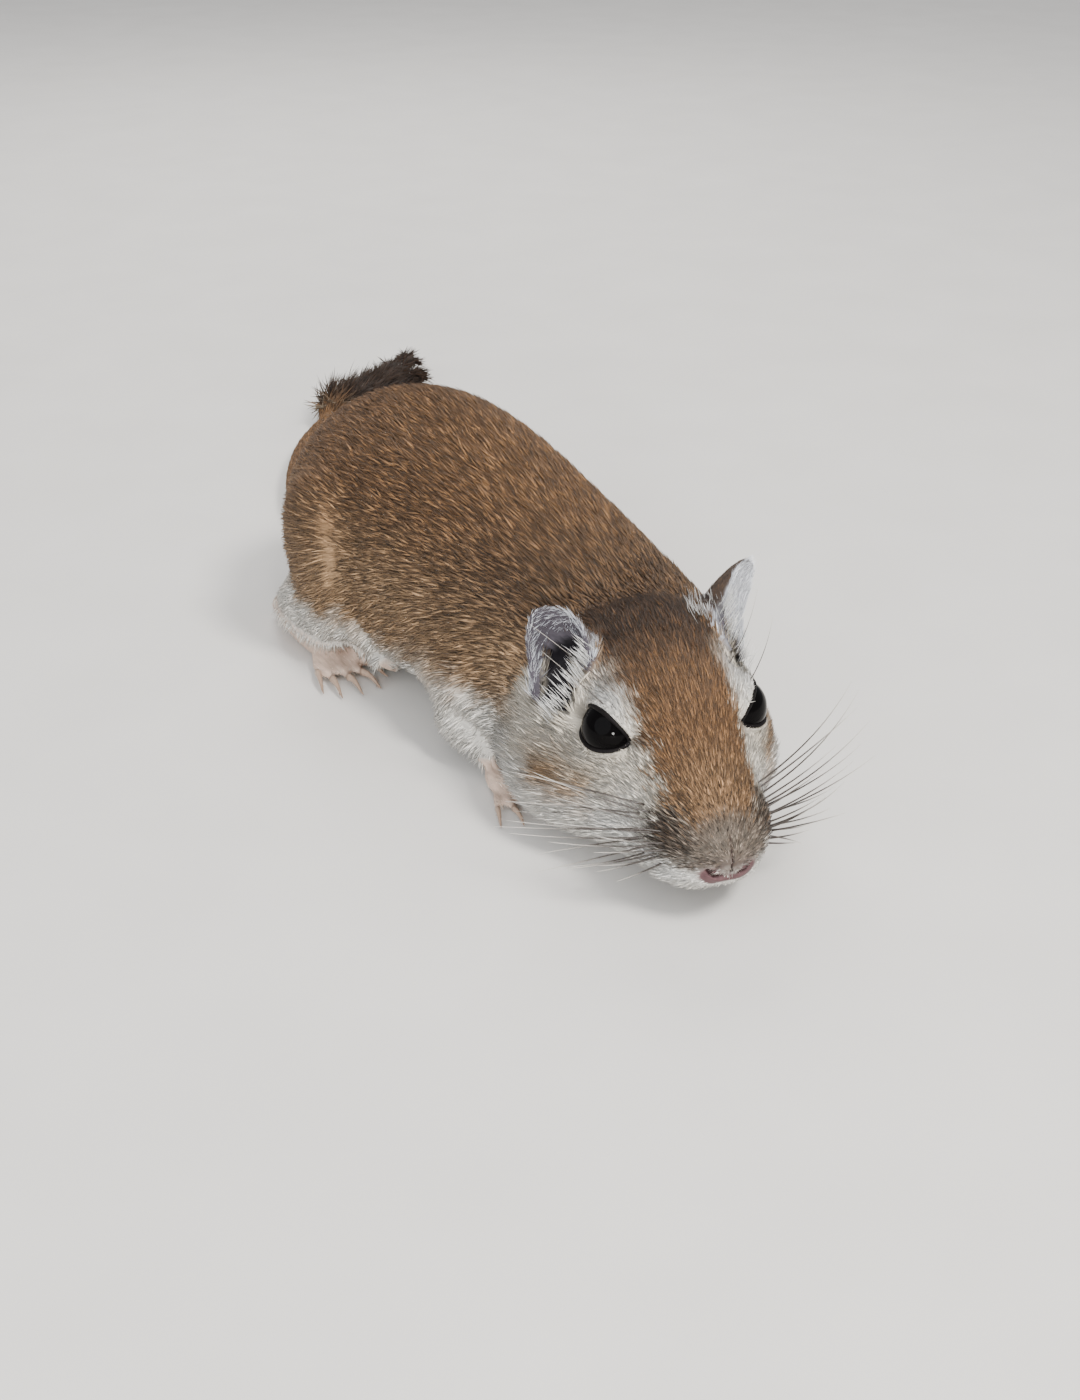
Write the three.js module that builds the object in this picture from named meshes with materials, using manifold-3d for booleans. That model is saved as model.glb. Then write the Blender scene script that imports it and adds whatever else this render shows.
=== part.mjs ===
// A life-size adult gerbil, still, low on all fours with its head near the floor and turned to its right.
// Millimetres, +Z up, nose towards -Y, the animal's left at +X, the floor at z = 0.
import * as THREE from "three";
import { mergeVertices } from "three/addons/utils/BufferGeometryUtils.js";
import Module from "manifold-3d";

const wasm = await Module();
wasm.setup();

// Driving dimensions
const GAP = 0.3; // between neighbouring pieces
const HEAD_YAW = -18; // degrees, the nose turned to the animal's right
const HEAD_PITCH = 8; // degrees, nose down
const ORIGIN_BACK = 17; // how far behind the stations' zero the part's origin lies, mid belly
const NOSE_TIP = new THREE.Vector3(-13, -60, 8.8);
const EYE_RADIUS = 3.6;
const EYE_CENTRE = { x: 8.1, y: 19.2, z: 7.4 }; // in the head's frame, from the nose tip
const EYE_OUTWARD = { x: 0.86, y: -0.33, z: 0.39 };
const EYE_FORWARD = { x: 0, y: -0.98, z: 0.2 }; // roughly where the front corner points
const LID_OPENING = { along: 80, across: 39 }; // degrees seen from the eye's centre
const EAR = { halfWidth: 5.2, rimThickness: 0.7, rootThickness: 1.2 };
// How far each edge of the ear rolls over from its middle line, in degrees, at the root and the tip
const EAR_ROLL = { front: [166, 52], back: [140, 40] };
const EAR_HOLLOW = { above: 2.3, ahead: 1.0, wide: 2.6, deep: 2.6, high: 4.5 };
// In the head's frame. The right ear is held a little lower than the left and turned further out.
const EARS = {
  left: { root: [11.4, 28.8, 7.0], tip: [14.6, 34.4, 18.0], opening: [0.58, -0.81] },
  right: { root: [-12.2, 27.4, 5.8], tip: [-11.8, 32.3, 16.9], opening: [-0.72, -0.69] },
};
const HIND_FOOT_LENGTH = 29;
const FORE_FOOT_LENGTH = 11;
const TAIL_LENGTH = 92;
const TAIL_ROOT_RADIUS = 3.7;
const TAIL_END_RADIUS = 2.2;
const TUFT_LENGTH = 14.5;

const V = (x, y, z) => new THREE.Vector3(x, y, z);
const radians = THREE.MathUtils.degToRad;
const lerp = THREE.MathUtils.lerp;
const SIDES = { left: 1, right: -1 };

// The head's frame: its origin is the nose tip, y runs back along the skull and z up.
const headRotation = new THREE.Euler(radians(HEAD_PITCH), 0, radians(HEAD_YAW), "ZXY");
const headMatrix = new THREE.Matrix4().makeRotationFromEuler(headRotation).setPosition(NOSE_TIP);

// A seeded draw from 0 to 1
function makeDraw(seed) {
  let state = seed;
  return () => {
    state = (state * 1664525 + 1013904223) % 4294967296;
    return state / 4294967296;
  };
}

// Closed geometry from rings of points and a closing point at each end
function loft(rings, first, last) {
  const sides = rings[0].length;
  const points = [first, ...rings.flat(), last];
  const faces = [];
  const at = (ring, side) => 1 + ring * sides + (side % sides);
  const end = points.length - 1;
  for (let side = 0; side < sides; side++) {
    faces.push(0, at(0, side + 1), at(0, side));
    faces.push(end, at(rings.length - 1, side), at(rings.length - 1, side + 1));
    for (let ring = 0; ring + 1 < rings.length; ring++) {
      faces.push(at(ring, side), at(ring, side + 1), at(ring + 1, side + 1));
      faces.push(at(ring, side), at(ring + 1, side + 1), at(ring + 1, side));
    }
  }
  const geometry = new THREE.BufferGeometry().setFromPoints(points);
  geometry.setIndex(faces);
  return geometry;
}

// A ring of points closed on itself, such as an eyelid, from one outline at each step
function loop(outlines) {
  const sides = outlines[0].length;
  const steps = outlines.length;
  const faces = [];
  const at = (step, side) => (step % steps) * sides + (side % sides);
  for (let step = 0; step < steps; step++)
    for (let side = 0; side < sides; side++) {
      faces.push(at(step, side), at(step, side + 1), at(step + 1, side + 1));
      faces.push(at(step, side), at(step + 1, side + 1), at(step + 1, side));
    }
  const geometry = new THREE.BufferGeometry().setFromPoints(outlines.flat());
  geometry.setIndex(faces);
  return geometry;
}

// Solids, joined and cut
function solid(geometry) {
  const bare = geometry.clone();
  bare.deleteAttribute("normal");
  bare.deleteAttribute("uv");
  const merged = mergeVertices(bare, 1e-4);
  const triVerts = new Uint32Array(merged.index.array);
  const vertProperties = new Float32Array(merged.attributes.position.array);
  let made = new wasm.Manifold(new wasm.Mesh({ numProp: 3, vertProperties, triVerts }));
  if (made.volume() < 0) {
    for (let i = 0; i < triVerts.length; i += 3)
      [triVerts[i + 1], triVerts[i + 2]] = [triVerts[i + 2], triVerts[i + 1]];
    made = new wasm.Manifold(new wasm.Mesh({ numProp: 3, vertProperties, triVerts }));
  }
  return made;
}

const joined = (solids) => solids.reduce((all, next) => all.add(next));
const cutBy = (body, tools) => tools.reduce((rest, tool) => rest.subtract(tool), body);

function largest(made) {
  const pieces = made.decompose();
  return pieces.reduce((best, next) => (next.volume() > best.volume() ? next : best));
}

function geometryOf(made) {
  const { numProp, numVert, vertProperties, triVerts } = made.getMesh();
  const positions = new Float32Array(numVert * 3);
  for (let i = 0; i < numVert; i++)
    positions.set(vertProperties.subarray(i * numProp, i * numProp + 3), i * 3);
  const geometry = new THREE.BufferGeometry();
  geometry.setAttribute("position", new THREE.BufferAttribute(positions, 3));
  geometry.setIndex(new THREE.BufferAttribute(triVerts, 1));
  return geometry;
}

// Everything below the floor, taken off so that what rests there has a flat
const FLOOR_SIDE = 400;
const underFloor = solid(
  new THREE.BoxGeometry(FLOOR_SIDE, FLOOR_SIDE, 40).translate(0, 0, -20),
);

// A value that runs smoothly through the stations' own values
function smooth(places, values, at) {
  let i = 0;
  while (i < places.length - 2 && at > places[i + 1]) i++;
  const slope = (k) => {
    const before = Math.max(0, k - 1);
    const after = Math.min(places.length - 1, k + 1);
    return (values[after] - values[before]) / (places[after] - places[before]);
  };
  const span = places[i + 1] - places[i];
  const t = (at - places[i]) / span;
  const [a, b] = [values[i], values[i + 1]];
  const [ma, mb] = [slope(i) * span, slope(i + 1) * span];
  const t2 = t * t;
  const t3 = t2 * t;
  return (2 * t3 - 3 * t2 + 1) * a + (t3 - 2 * t2 + t) * ma + (3 * t2 - 2 * t3) * b + (t3 - t2) * mb;
}

// Stations of the head, in its own frame: back from the nose tip, then half-width and the levels of
// its widest line, top and underside
const HEAD_STATIONS = [
  { back: 0.0, width: 2.6, level: 0.7, top: 2.9, under: -1.6 },
  { back: 1.1, width: 4.0, level: 0.5, top: 4.5, under: -3.3 },
  { back: 3.0, width: 5.4, level: 0.1, top: 6.1, under: -5.3 },
  { back: 6.0, width: 6.7, level: -0.8, top: 8.1, under: -7.0 },
  { back: 10.5, width: 8.5, level: -1.5, top: 10.7, under: -8.2 },
  { back: 15.5, width: 10.8, level: -1.9, top: 13.3, under: -9.1 },
  { back: 20.5, width: 12.8, level: -2.5, top: 15.1, under: -9.9 },
  { back: 26.0, width: 14.5, level: -3.2, top: 16.0, under: -10.7 },
  { back: 32.0, width: 16.1, level: -3.7, top: 16.3, under: -11.4 },
];

// Stations of the neck and trunk, in the part's frame: the centre of each section, its turn, its tilt
// and its reach to the sides, up and down
const TRUNK_STATIONS = [
  { at: [0.2, -22, 11.8], yaw: -10, pitch: 9, width: 18.2, up: 17.2, down: 10.9 },
  { at: [0.2, -13, 13.4], yaw: -4, pitch: 9, width: 18.8, up: 18.8, down: 12.6 },
  { at: [0, -2, 14.8], yaw: 0, pitch: 7, width: 19.2, up: 21.4, down: 14.3 },
  { at: [0, 11, 15.8], yaw: 0, pitch: 2, width: 19.8, up: 24.2, down: 16.2 },
  { at: [0, 24, 15.8], yaw: 0, pitch: -5, width: 20.4, up: 24.6, down: 16.2 },
  { at: [0, 35, 14.4], yaw: 0, pitch: -14, width: 18.8, up: 21.0, down: 14.6 },
  { at: [0, 44, 11.6], yaw: 0, pitch: -26, width: 14.0, up: 13.8, down: 10.4 },
  { at: [0, 49.5, 8.6], yaw: 0, pitch: -36, width: 7.8, up: 6.6, down: 5.6 },
];

// The named places where the body is parted, as distances along its line of centres
const spine = [
  ...HEAD_STATIONS.map((s) => ({
    at: V(0, s.back, s.level).applyMatrix4(headMatrix),
    yaw: HEAD_YAW,
    pitch: HEAD_PITCH,
    width: s.width,
    up: s.top - s.level,
    down: s.level - s.under,
  })),
  ...TRUNK_STATIONS.map((s) => ({ ...s, at: V(...s.at) })),
];
const along = [0];
for (let i = 1; i < spine.length; i++)
  along.push(along[i - 1] + spine[i].at.distanceTo(spine[i - 1].at));
const NAPE = along[HEAD_STATIONS.length - 1] + 4.5;
const SHOULDER = along[HEAD_STATIONS.length + 1];
const LOIN = along[HEAD_STATIONS.length + 4] + 2;
const BODY_END = along[along.length - 1];

// Swellings and dips of the face, in the head's frame, each on both sides
const FACE_FORMS = [
  { name: "whisker pad", at: [6.0, 5.2, -1.0], reach: 3.2, height: 1.1 },
  { name: "upper lip", at: [2.8, 1.8, -2.6], reach: 1.8, height: 0.5 },
  { name: "jowl", at: [13.0, 21.5, -6.0], reach: 7.5, height: 2.4 },
  { name: "throat's side", at: [15.0, 31.0, -8.0], reach: 7.5, height: 1.8 },
  { name: "cheek", at: [13.0, 25.0, -1.0], reach: 6.5, height: 1.0 },
  { name: "brow", at: [8.8, 19.8, 11.0], reach: 3.4, height: 0.9 },
  { name: "lower lid's bed", at: [11.6, 18.4, 4.4], reach: 2.8, height: 0.6 },
  { name: "hollow before the eye", at: [7.4, 11.0, 6.2], reach: 3.2, height: -0.5 },
  { name: "hollow behind the eye", at: [11.4, 24.5, 9.0], reach: 3.0, height: -0.5 },
].flatMap((form) =>
  Object.values(SIDES).map((side) => ({
    ...form,
    at: V(side * form.at[0], form.at[1], form.at[2]).applyMatrix4(headMatrix),
  })),
);

// 2 is an ellipse; more is fuller towards the corners.
const SQUARENESS = { above: 2.0, below: 2.7 };

// The section of the whole body at a distance along its line
function sectionAt(distance) {
  const value = (read) => smooth(along, spine.map(read), distance);
  const turn = new THREE.Euler(radians(value((s) => s.pitch)), 0, radians(value((s) => s.yaw)), "ZXY");
  return {
    centre: V(value((s) => s.at.x), value((s) => s.at.y), value((s) => s.at.z)),
    turn,
    width: value((s) => s.width),
    up: value((s) => s.up),
    down: value((s) => s.down),
  };
}

const rounded = (value, square) => Math.sign(value) * Math.abs(value) ** (2 / square);

// A point of the body's surface: angle 0 is the animal's left, 90 degrees is the back
function surface(section, angle, grow = 0) {
  const isAbove = Math.sin(angle) > 0;
  const square = isAbove ? SQUARENESS.above : SQUARENESS.below;
  const across = rounded(Math.cos(angle), square) * (section.width + grow);
  const high = rounded(Math.sin(angle), square) * ((isAbove ? section.up : section.down) + grow);
  const outward = V(across, 0, high).applyEuler(section.turn);
  const point = outward.clone().add(section.centre);
  const direction = outward.normalize();
  for (const form of FACE_FORMS) {
    const far = point.distanceTo(form.at) / form.reach;
    point.addScaledVector(direction, form.height * Math.exp(-far * far));
  }
  return point;
}

// A length of the body between two places along its line
function bodyLength(from, to, steps, sides, { grow = 0, noseEnd = false } = {}) {
  const rings = [];
  for (let step = 0; step <= steps; step++) {
    const share = step / steps;
    const distance = lerp(from, to, noseEnd ? share ** 1.35 : share);
    const section = sectionAt(distance);
    rings.push(
      Array.from({ length: sides }, (_, side) => surface(section, (side / sides) * 2 * Math.PI, grow)),
    );
  }
  const first = sectionAt(from).centre;
  if (noseEnd) first.add(V(0, -0.7 - grow, 0).applyEuler(headRotation));
  return solid(loft(rings, first, sectionAt(to).centre));
}

// A tube with oval sections along a smooth path, rounded at both ends
function limb(points, radii, { sides = 12, steps = 10, grow = 0, up = V(0, 0, 1) } = {}) {
  const curve = new THREE.CatmullRomCurve3(points, false, "centripetal");
  const places = radii.map((_, i) => i / (radii.length - 1));
  const ENDS = [0.55, 0.85]; // how much the outer rings are drawn in, for a round end
  const rings = [];
  for (let step = 0; step <= steps; step++) {
    const share = step / steps;
    const centre = curve.getPoint(share);
    const ahead = curve.getTangent(share);
    const side = ahead.clone().cross(up).normalize();
    const over = side.clone().cross(ahead).normalize();
    const fromEnd = Math.min(step, steps - step);
    const drawIn = fromEnd < ENDS.length ? ENDS[fromEnd] : 1;
    const wide = (smooth(places, radii.map((r) => r[0]), share) + grow) * drawIn;
    const tall = (smooth(places, radii.map((r) => r[1]), share) + grow) * drawIn;
    rings.push(
      Array.from({ length: sides }, (_, k) => {
        const angle = (k / sides) * 2 * Math.PI;
        return centre
          .clone()
          .addScaledVector(side, Math.cos(angle) * wide)
          .addScaledVector(over, Math.sin(angle) * tall);
      }),
    );
  }
  const reach = (i, share, sign) =>
    curve.getPoint(share).addScaledVector(curve.getTangent(share), sign * (radii[i][1] * 0.3 + grow));
  return solid(loft(rings, reach(0, 0, -1), reach(radii.length - 1, 1, 1)));
}

// Eyes, in the head's frame
function eyeAxes(side) {
  const outward = V(side * EYE_OUTWARD.x, EYE_OUTWARD.y, EYE_OUTWARD.z).normalize();
  const forward = V(EYE_FORWARD.x, EYE_FORWARD.y, EYE_FORWARD.z).projectOnPlane(outward).normalize();
  const upward = outward.clone().cross(forward).normalize();
  if (upward.z < 0) upward.negate();
  return { centre: V(side * EYE_CENTRE.x, EYE_CENTRE.y, EYE_CENTRE.z), outward, forward, upward };
}

function ball(centre, radius, detail) {
  const [x, y, z] = centre.toArray();
  return solid(new THREE.IcosahedronGeometry(radius, detail).translate(x, y, z));
}

// A lid all round the eye: a band of a ball, from the almond-shaped opening down to the face
function lids(side) {
  const { centre, outward, forward, upward } = eyeAxes(side);
  const STEPS = 24;
  const INNER = EYE_RADIUS + GAP;
  const band = [
    { out: 0, radius: INNER },
    { out: 3, radius: INNER + 0.4 },
    { out: 14, radius: INNER + 0.55 },
    { out: 40, radius: INNER + 0.2 },
    { out: 44, radius: INNER - 0.1 },
  ];
  const outlines = Array.from({ length: STEPS }, (_, step) => {
    const angle = (step / STEPS) * 2 * Math.PI;
    const [c, s] = [Math.cos(angle), Math.sin(angle)];
    const sharper = c > 0 ? 1.5 : 1.9; // the front corner is drawn to a point
    const opening = (Math.abs(c / LID_OPENING.along) ** sharper + Math.abs(s / LID_OPENING.across) ** sharper)
      ** (-1 / sharper);
    const rim = forward.clone().multiplyScalar(c).addScaledVector(upward, s);
    return band.map(({ out, radius }) => {
      const turn = radians(opening + out);
      return centre
        .clone()
        .addScaledVector(outward, Math.cos(turn) * radius)
        .addScaledVector(rim, Math.sin(turn) * radius);
    });
  });
  return solid(loop(outlines)).transform(headMatrix.elements);
}

// A groove's tool: a thin round tube along points of the face
function groove(points, radius, steps) {
  return limb(points, [[radius * 0.6, radius * 0.6], [radius, radius], [radius * 0.6, radius * 0.6]], {
    sides: 5,
    steps,
    up: V(0.3, 0.2, 1),
  });
}

const facePoint = (x, y, z) => V(x, y, z).applyMatrix4(headMatrix);

function mouthAndNose() {
  const tools = [];
  // The cleft down the middle of the nose and upper lip
  tools.push(
    groove([facePoint(0, 0.5, 3.4), facePoint(0, -0.55, 1.2), facePoint(0, -0.35, -1.0), facePoint(0, 1.4, -2.9)], 0.35, 5),
  );
  for (const side of Object.values(SIDES)) {
    const nostril = [[0.7, -0.5, -0.5], [1.7, 0.0, -0.7], [2.6, 0.7, 0.0], [3.0, 1.2, 0.8]];
    tools.push(groove(nostril.map(([x, y, z]) => facePoint(side * x, y, z)), 0.5, 4));
    // The line of the mouth runs back from the cleft on the underside of the muzzle.
    const mouth = [2.6, 3.6, 6.0, 9.0, 12.0].map((back, i) => {
      const angle = radians(-90 + side * [0, 24, 40, 46, 48][i]);
      return surface(sectionAt(back), angle, 0);
    });
    tools.push(groove(mouth, 0.45, 6));
  }
  return tools;
}

// An ear's root and tip, the way it stands, the way its hollow faces, and the way across it
function earAxes(name) {
  const root = V(...EARS[name].root);
  const tip = V(...EARS[name].tip);
  const up = tip.clone().sub(root).normalize();
  const opening = V(...EARS[name].opening, 0).projectOnPlane(up).normalize();
  return { root, tip, up, opening, across: up.clone().cross(opening) };
}

// Ears: a thin cupped leaf, rolled at the root, whose hollow faces out and forwards
function earLeaf(name) {
  const side = SIDES[name];
  const { root, tip, up, opening, across } = earAxes(name);
  const ROWS = 10;
  const COLUMNS = 10;
  const SUNK = 1.2; // how deep the root starts inside the head
  const length = tip.distanceTo(root) + SUNK;
  const WIDEST = 0.56; // of the length
  const BLUNT = 2.4; // 2 is an ellipse's end; more is rounder at the tip
  const DIVE = 2.6; // how far both rims turn in towards the head at the root
  const leaf = (share, column, inner) => {
    const past = Math.max(0, share - WIDEST) / (1.005 - WIDEST);
    const narrowing = share > WIDEST ? (1 - past ** BLUNT) ** (1 / BLUNT) : lerp(0.66, 1, share / WIDEST);
    const width = EAR.halfWidth * narrowing;
    const [front, back] = [EAR_ROLL.front, EAR_ROLL.back].map(([low, high]) => lerp(low, high, share ** 0.8));
    const radius = width / Math.sin(radians(Math.min(90, (front + back) / 2)));
    const thickness = inner ? lerp(EAR.rootThickness, EAR.rimThickness, share) : 0;
    const angle = radians(side > 0 ? lerp(-front, back, column) : lerp(-back, front, column));
    const bowl = Math.cos(radians(Math.min(90, back))) * radius;
    return root
      .clone()
      .addScaledVector(up, -SUNK + share * length)
      .addScaledVector(across, Math.sin(angle) * (radius - thickness))
      .addScaledVector(opening, bowl - Math.cos(angle) * (radius - thickness))
      .addScaledVector(opening, -1.2 * Math.sin(Math.PI * share) - DIVE * (2 * column - 1) ** 2 * (1 - share) ** 7);
  };
  const outlines = [];
  for (let row = 0; row <= ROWS; row++) {
    const share = 1 - (1 - row / ROWS) ** 1.7;
    const outer = Array.from({ length: COLUMNS + 1 }, (_, i) => leaf(share, i / COLUMNS, false));
    const inner = Array.from({ length: COLUMNS + 1 }, (_, i) => leaf(share, 1 - i / COLUMNS, true));
    outlines.push([...outer, ...inner]);
  }
  return solid(strip(outlines)).transform(headMatrix.elements);
}

// The hollow that runs from the cup of the ear down into the head
function earHollow(name) {
  const { root, up, opening, across } = earAxes(name);
  const { above, ahead, wide, deep, high } = EAR_HOLLOW;
  const middle = root.clone().addScaledVector(up, above).addScaledVector(opening, ahead);
  const frame = new THREE.Matrix4()
    .makeBasis(across, opening, up)
    .scale(V(wide, deep, high))
    .setPosition(middle);
  return solid(new THREE.IcosahedronGeometry(1, 2)).transform(headMatrix.clone().multiply(frame).elements);
}

// Closed geometry from flat, C-shaped outlines, with each end closed across its thickness
function strip(outlines) {
  const sides = outlines[0].length;
  const half = sides / 2;
  const faces = [];
  const at = (row, side) => row * sides + (side % sides);
  const last = outlines.length - 1;
  for (let row = 0; row < last; row++)
    for (let side = 0; side < sides; side++) {
      faces.push(at(row, side), at(row, side + 1), at(row + 1, side + 1));
      faces.push(at(row, side), at(row + 1, side + 1), at(row + 1, side));
    }
  for (let i = 0; i + 1 < half; i++) {
    const [a, b, c, d] = [i, i + 1, sides - 2 - i, sides - 1 - i];
    faces.push(at(0, a), at(0, d), at(0, c), at(0, a), at(0, c), at(0, b));
    faces.push(at(last, a), at(last, c), at(last, d), at(last, a), at(last, b), at(last, c));
  }
  const geometry = new THREE.BufferGeometry().setFromPoints(outlines.flat());
  geometry.setIndex(faces);
  return geometry;
}

// Legs
const HIP = { x: 10.5, y: 35, z: 22 };
const KNEE = { x: 17.6, y: 16.5, z: 11.5 };
const HEEL = { x: 16.2, y: 41, z: 4 };
const SHOULDER_JOINT = { x: 12.0, y: -13, z: 15 };
const ELBOW = { x: 16.8, y: -4.5, z: 8 };
const WRIST = { x: 16.8, y: -17.5, z: 3.6 };
const onSide = (side, p) => V(side * p.x, p.y, p.z);

function hindLeg(side, grow = 0) {
  const thigh = limb(
    [onSide(side, HIP), V(side * 15.6, 27, 17.5), onSide(side, KNEE)],
    [[7.5, 10.5], [7.4, 12.6], [4.6, 6.6]],
    { sides: 16, steps: 9, grow },
  );
  const shank = limb(
    [V(side * 17.8, 17, 9), V(side * 17.6, 29, 7.5), onSide(side, HEEL)],
    [[4.2, 5.4], [4.4, 5.4], [3.0, 3.6]],
    { sides: 12, steps: 7, grow },
  );
  return thigh.add(shank);
}

function foreLeg(side, grow = 0) {
  const upperArm = limb(
    [onSide(side, SHOULDER_JOINT), V(side * 15.2, -9, 11.5), onSide(side, ELBOW)],
    [[4.4, 6.0], [4.4, 5.6], [3.6, 4.0]],
    { sides: 12, steps: 6, grow, up: V(side, 0, 0.2) },
  );
  const forearm = limb(
    [V(side * 16.8, -4.8, 6.6), V(side * 17.2, -11, 5.2), onSide(side, WRIST)],
    [[3.4, 3.6], [3.1, 3.1], [2.3, 2.3]],
    { sides: 10, steps: 6, grow },
  );
  return upperArm.add(forearm);
}

// A foot flat on the floor: the sole, then toes that spread from its front, each with a claw
function foot(side, { heel, turn, length, width, height, toes, toeLength, toeRadius, claw }, grow = 0) {
  const ahead = V(-side * Math.sin(radians(turn)), -Math.cos(radians(turn)), 0);
  ahead.x *= -1;
  const across = V(-ahead.y, ahead.x, 0);
  const sole = length - toeLength;
  const at = (forward, sideways, high) =>
    heel.clone().addScaledVector(ahead, forward).addScaledVector(across, sideways).setZ(high);
  const made = [
    limb(
      [at(0, 0, height * 0.42), at(sole * 0.5, 0, height * 0.36), at(sole, 0, height * 0.3)],
      [[width * 0.36, height * 0.5], [width * 0.4, height * 0.44], [width * 0.5, height * 0.36]],
      { sides: 8, steps: 5, grow },
    ),
  ];
  toes.forEach(({ sideways, spread, size }) => {
    const out = radians(spread);
    const reach = toeLength * size;
    const from = [sole - toeLength * 0.35, sideways * width * 0.42];
    const tip = (share) => [
      from[0] + Math.cos(out) * (reach + toeLength * 0.35) * share,
      from[1] + Math.sin(out) * (reach + toeLength * 0.35) * share,
    ];
    const r = toeRadius;
    made.push(
      limb(
        [at(...tip(0), height * 0.3), at(...tip(0.55), r * 1.25), at(...tip(1), r * 0.85)],
        [[r, r], [r * 0.85, r * 1.05], [r * 0.95, r * 0.9]],
        { sides: 6, steps: 3, grow },
      ),
      limb(
        [at(...tip(0.93), r * 1.1), at(...tip(1 + (claw * 0.6) / reach), r * 1.1), at(...tip(1 + claw / reach), r * 0.5)],
        [[r * 0.4, r * 0.55], [r * 0.3, r * 0.4], [0.12, 0.15]],
        { sides: 4, steps: 2, grow },
      ),
    );
  });
  return joined(made);
}

const HIND_TOES = [
  { sideways: -0.8, spread: -16, size: 0.5 },
  { sideways: -0.5, spread: -8, size: 0.95 },
  { sideways: 0, spread: 0, size: 1.05 },
  { sideways: 0.5, spread: 8, size: 1 },
  { sideways: 0.85, spread: 18, size: 0.6 },
];
const FORE_TOES = [
  { sideways: -0.8, spread: -22, size: 0.8 },
  { sideways: -0.28, spread: -7, size: 1 },
  { sideways: 0.28, spread: 7, size: 1 },
  { sideways: 0.8, spread: 22, size: 0.85 },
];

const hindFoot = (side, grow) =>
  foot(
    side,
    {
      heel: V(side * (HEEL.x + 0.2), HEEL.y + 1.5, 0),
      turn: 5,
      length: HIND_FOOT_LENGTH - 2,
      width: 5.8,
      height: 5,
      toes: HIND_TOES,
      toeLength: 7,
      toeRadius: 1.05,
      claw: 2,
    },
    grow,
  );

const foreFoot = (side, grow) =>
  foot(
    side,
    {
      heel: V(side * (WRIST.x + 0.1), WRIST.y + 0.5, 0),
      turn: 6,
      length: FORE_FOOT_LENGTH - 1.5,
      width: 4.8,
      height: 3.6,
      toes: FORE_TOES,
      toeLength: 3.8,
      toeRadius: 0.8,
      claw: 1.5,
    },
    grow,
  );

// The tail lies on the floor behind the body in a slow curve to the animal's left.
const tailLine = new THREE.CatmullRomCurve3(
  [
    V(0, 46, 9.0),
    V(0.3, 54, 4.6),
    V(2.2, 64, 3.1),
    V(8.5, 80, 2.9),
    V(19.5, 96, 2.7),
    V(34, 108.5, 2.4),
    V(47, 116, 2.1),
  ],
  false,
  "centripetal",
);
const tailScale = TAIL_LENGTH / tailLine.getLength();
const tailRadius = (share) => lerp(TAIL_ROOT_RADIUS, TAIL_END_RADIUS, share ** 0.8);

function tailPoint(share) {
  return tailLine.getPointAt(Math.min(1, share * Math.min(1, tailScale)));
}

function tailLength(from, to, steps, sides) {
  const rings = [];
  for (let step = 0; step <= steps; step++) {
    const share = lerp(from, to, step / steps);
    const ahead = tailLine.getTangentAt(Math.min(1, share * Math.min(1, tailScale)));
    const side = ahead.clone().cross(V(0, 0, 1)).normalize();
    const over = side.clone().cross(ahead).normalize();
    const radius = tailRadius(share);
    const centre = tailPoint(share);
    centre.z = Math.max(centre.z, radius - 0.25);
    rings.push(
      Array.from({ length: sides }, (_, k) => {
        const angle = (k / sides) * 2 * Math.PI;
        return centre
          .clone()
          .addScaledVector(side, Math.cos(angle) * radius)
          .addScaledVector(over, Math.sin(angle) * radius);
      }),
    );
  }
  const middle = (ring) =>
    ring.reduce((sum, p) => sum.add(p), V(0, 0, 0)).multiplyScalar(1 / sides);
  return solid(loft(rings, middle(rings[0]), middle(rings[rings.length - 1])));
}

// The tuft: flat tapered locks along the tail's last stretch that lie back and overlap past its end
function tuftLocks() {
  const draw = makeDraw(12);
  const ROWS = 5;
  const PER_ROW = 5;
  const FIRST = 0.74;
  const locks = [];
  for (let row = 0; row < ROWS; row++)
    for (let k = 0; k < PER_ROW; k++) {
      const share = lerp(FIRST, 0.985, row / (ROWS - 1));
      const ahead = tailLine.getTangentAt(share);
      const side = ahead.clone().cross(V(0, 0, 1)).normalize();
      const over = side.clone().cross(ahead).normalize();
      const turn = radians(-10 + 200 * ((k + (row % 2) * 0.5) / PER_ROW) + (draw() - 0.5) * 14);
      const outward = side.clone().multiplyScalar(Math.cos(turn)).addScaledVector(over, Math.sin(turn));
      const length = TUFT_LENGTH * (0.75 + 0.35 * draw());
      const radius = tailRadius(share);
      const root = tailPoint(share);
      root.z = Math.max(root.z, radius - 0.25);
      root.addScaledVector(outward, radius * 0.35);
      const lift = 0.26 + 0.16 * draw();
      const path = [0, 0.5, 1].map((t) =>
        root
          .clone()
          .addScaledVector(ahead, t * length)
          .addScaledVector(outward, radius * 0.35 + Math.sin(t * 2.2) * length * lift * 0.55),
      );
      path.forEach((p) => (p.z = Math.max(p.z, 0.7)));
      locks.push(
        limb(path, [[1.2, 0.9], [1.0, 0.6], [0.1, 0.1]], { sides: 4, steps: 3, up: outward }),
      );
    }
  return locks;
}

// Materials
const finish = (color, roughness) => new THREE.MeshStandardMaterial({ color, roughness, metalness: 0 });
const coatTop = finish(0xb97a48, 0.85);
const coatFace = finish(0xc2895a, 0.85);
const coatPale = finish(0xd9cbb8, 0.85);
const earSkin = finish(0x9b918e, 0.75);
const eyeGloss = finish(0x050507, 0.08);
const footSkin = finish(0xd8b9a6, 0.7);
const tuftDark = finish(0x5a4636, 0.85);

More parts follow.
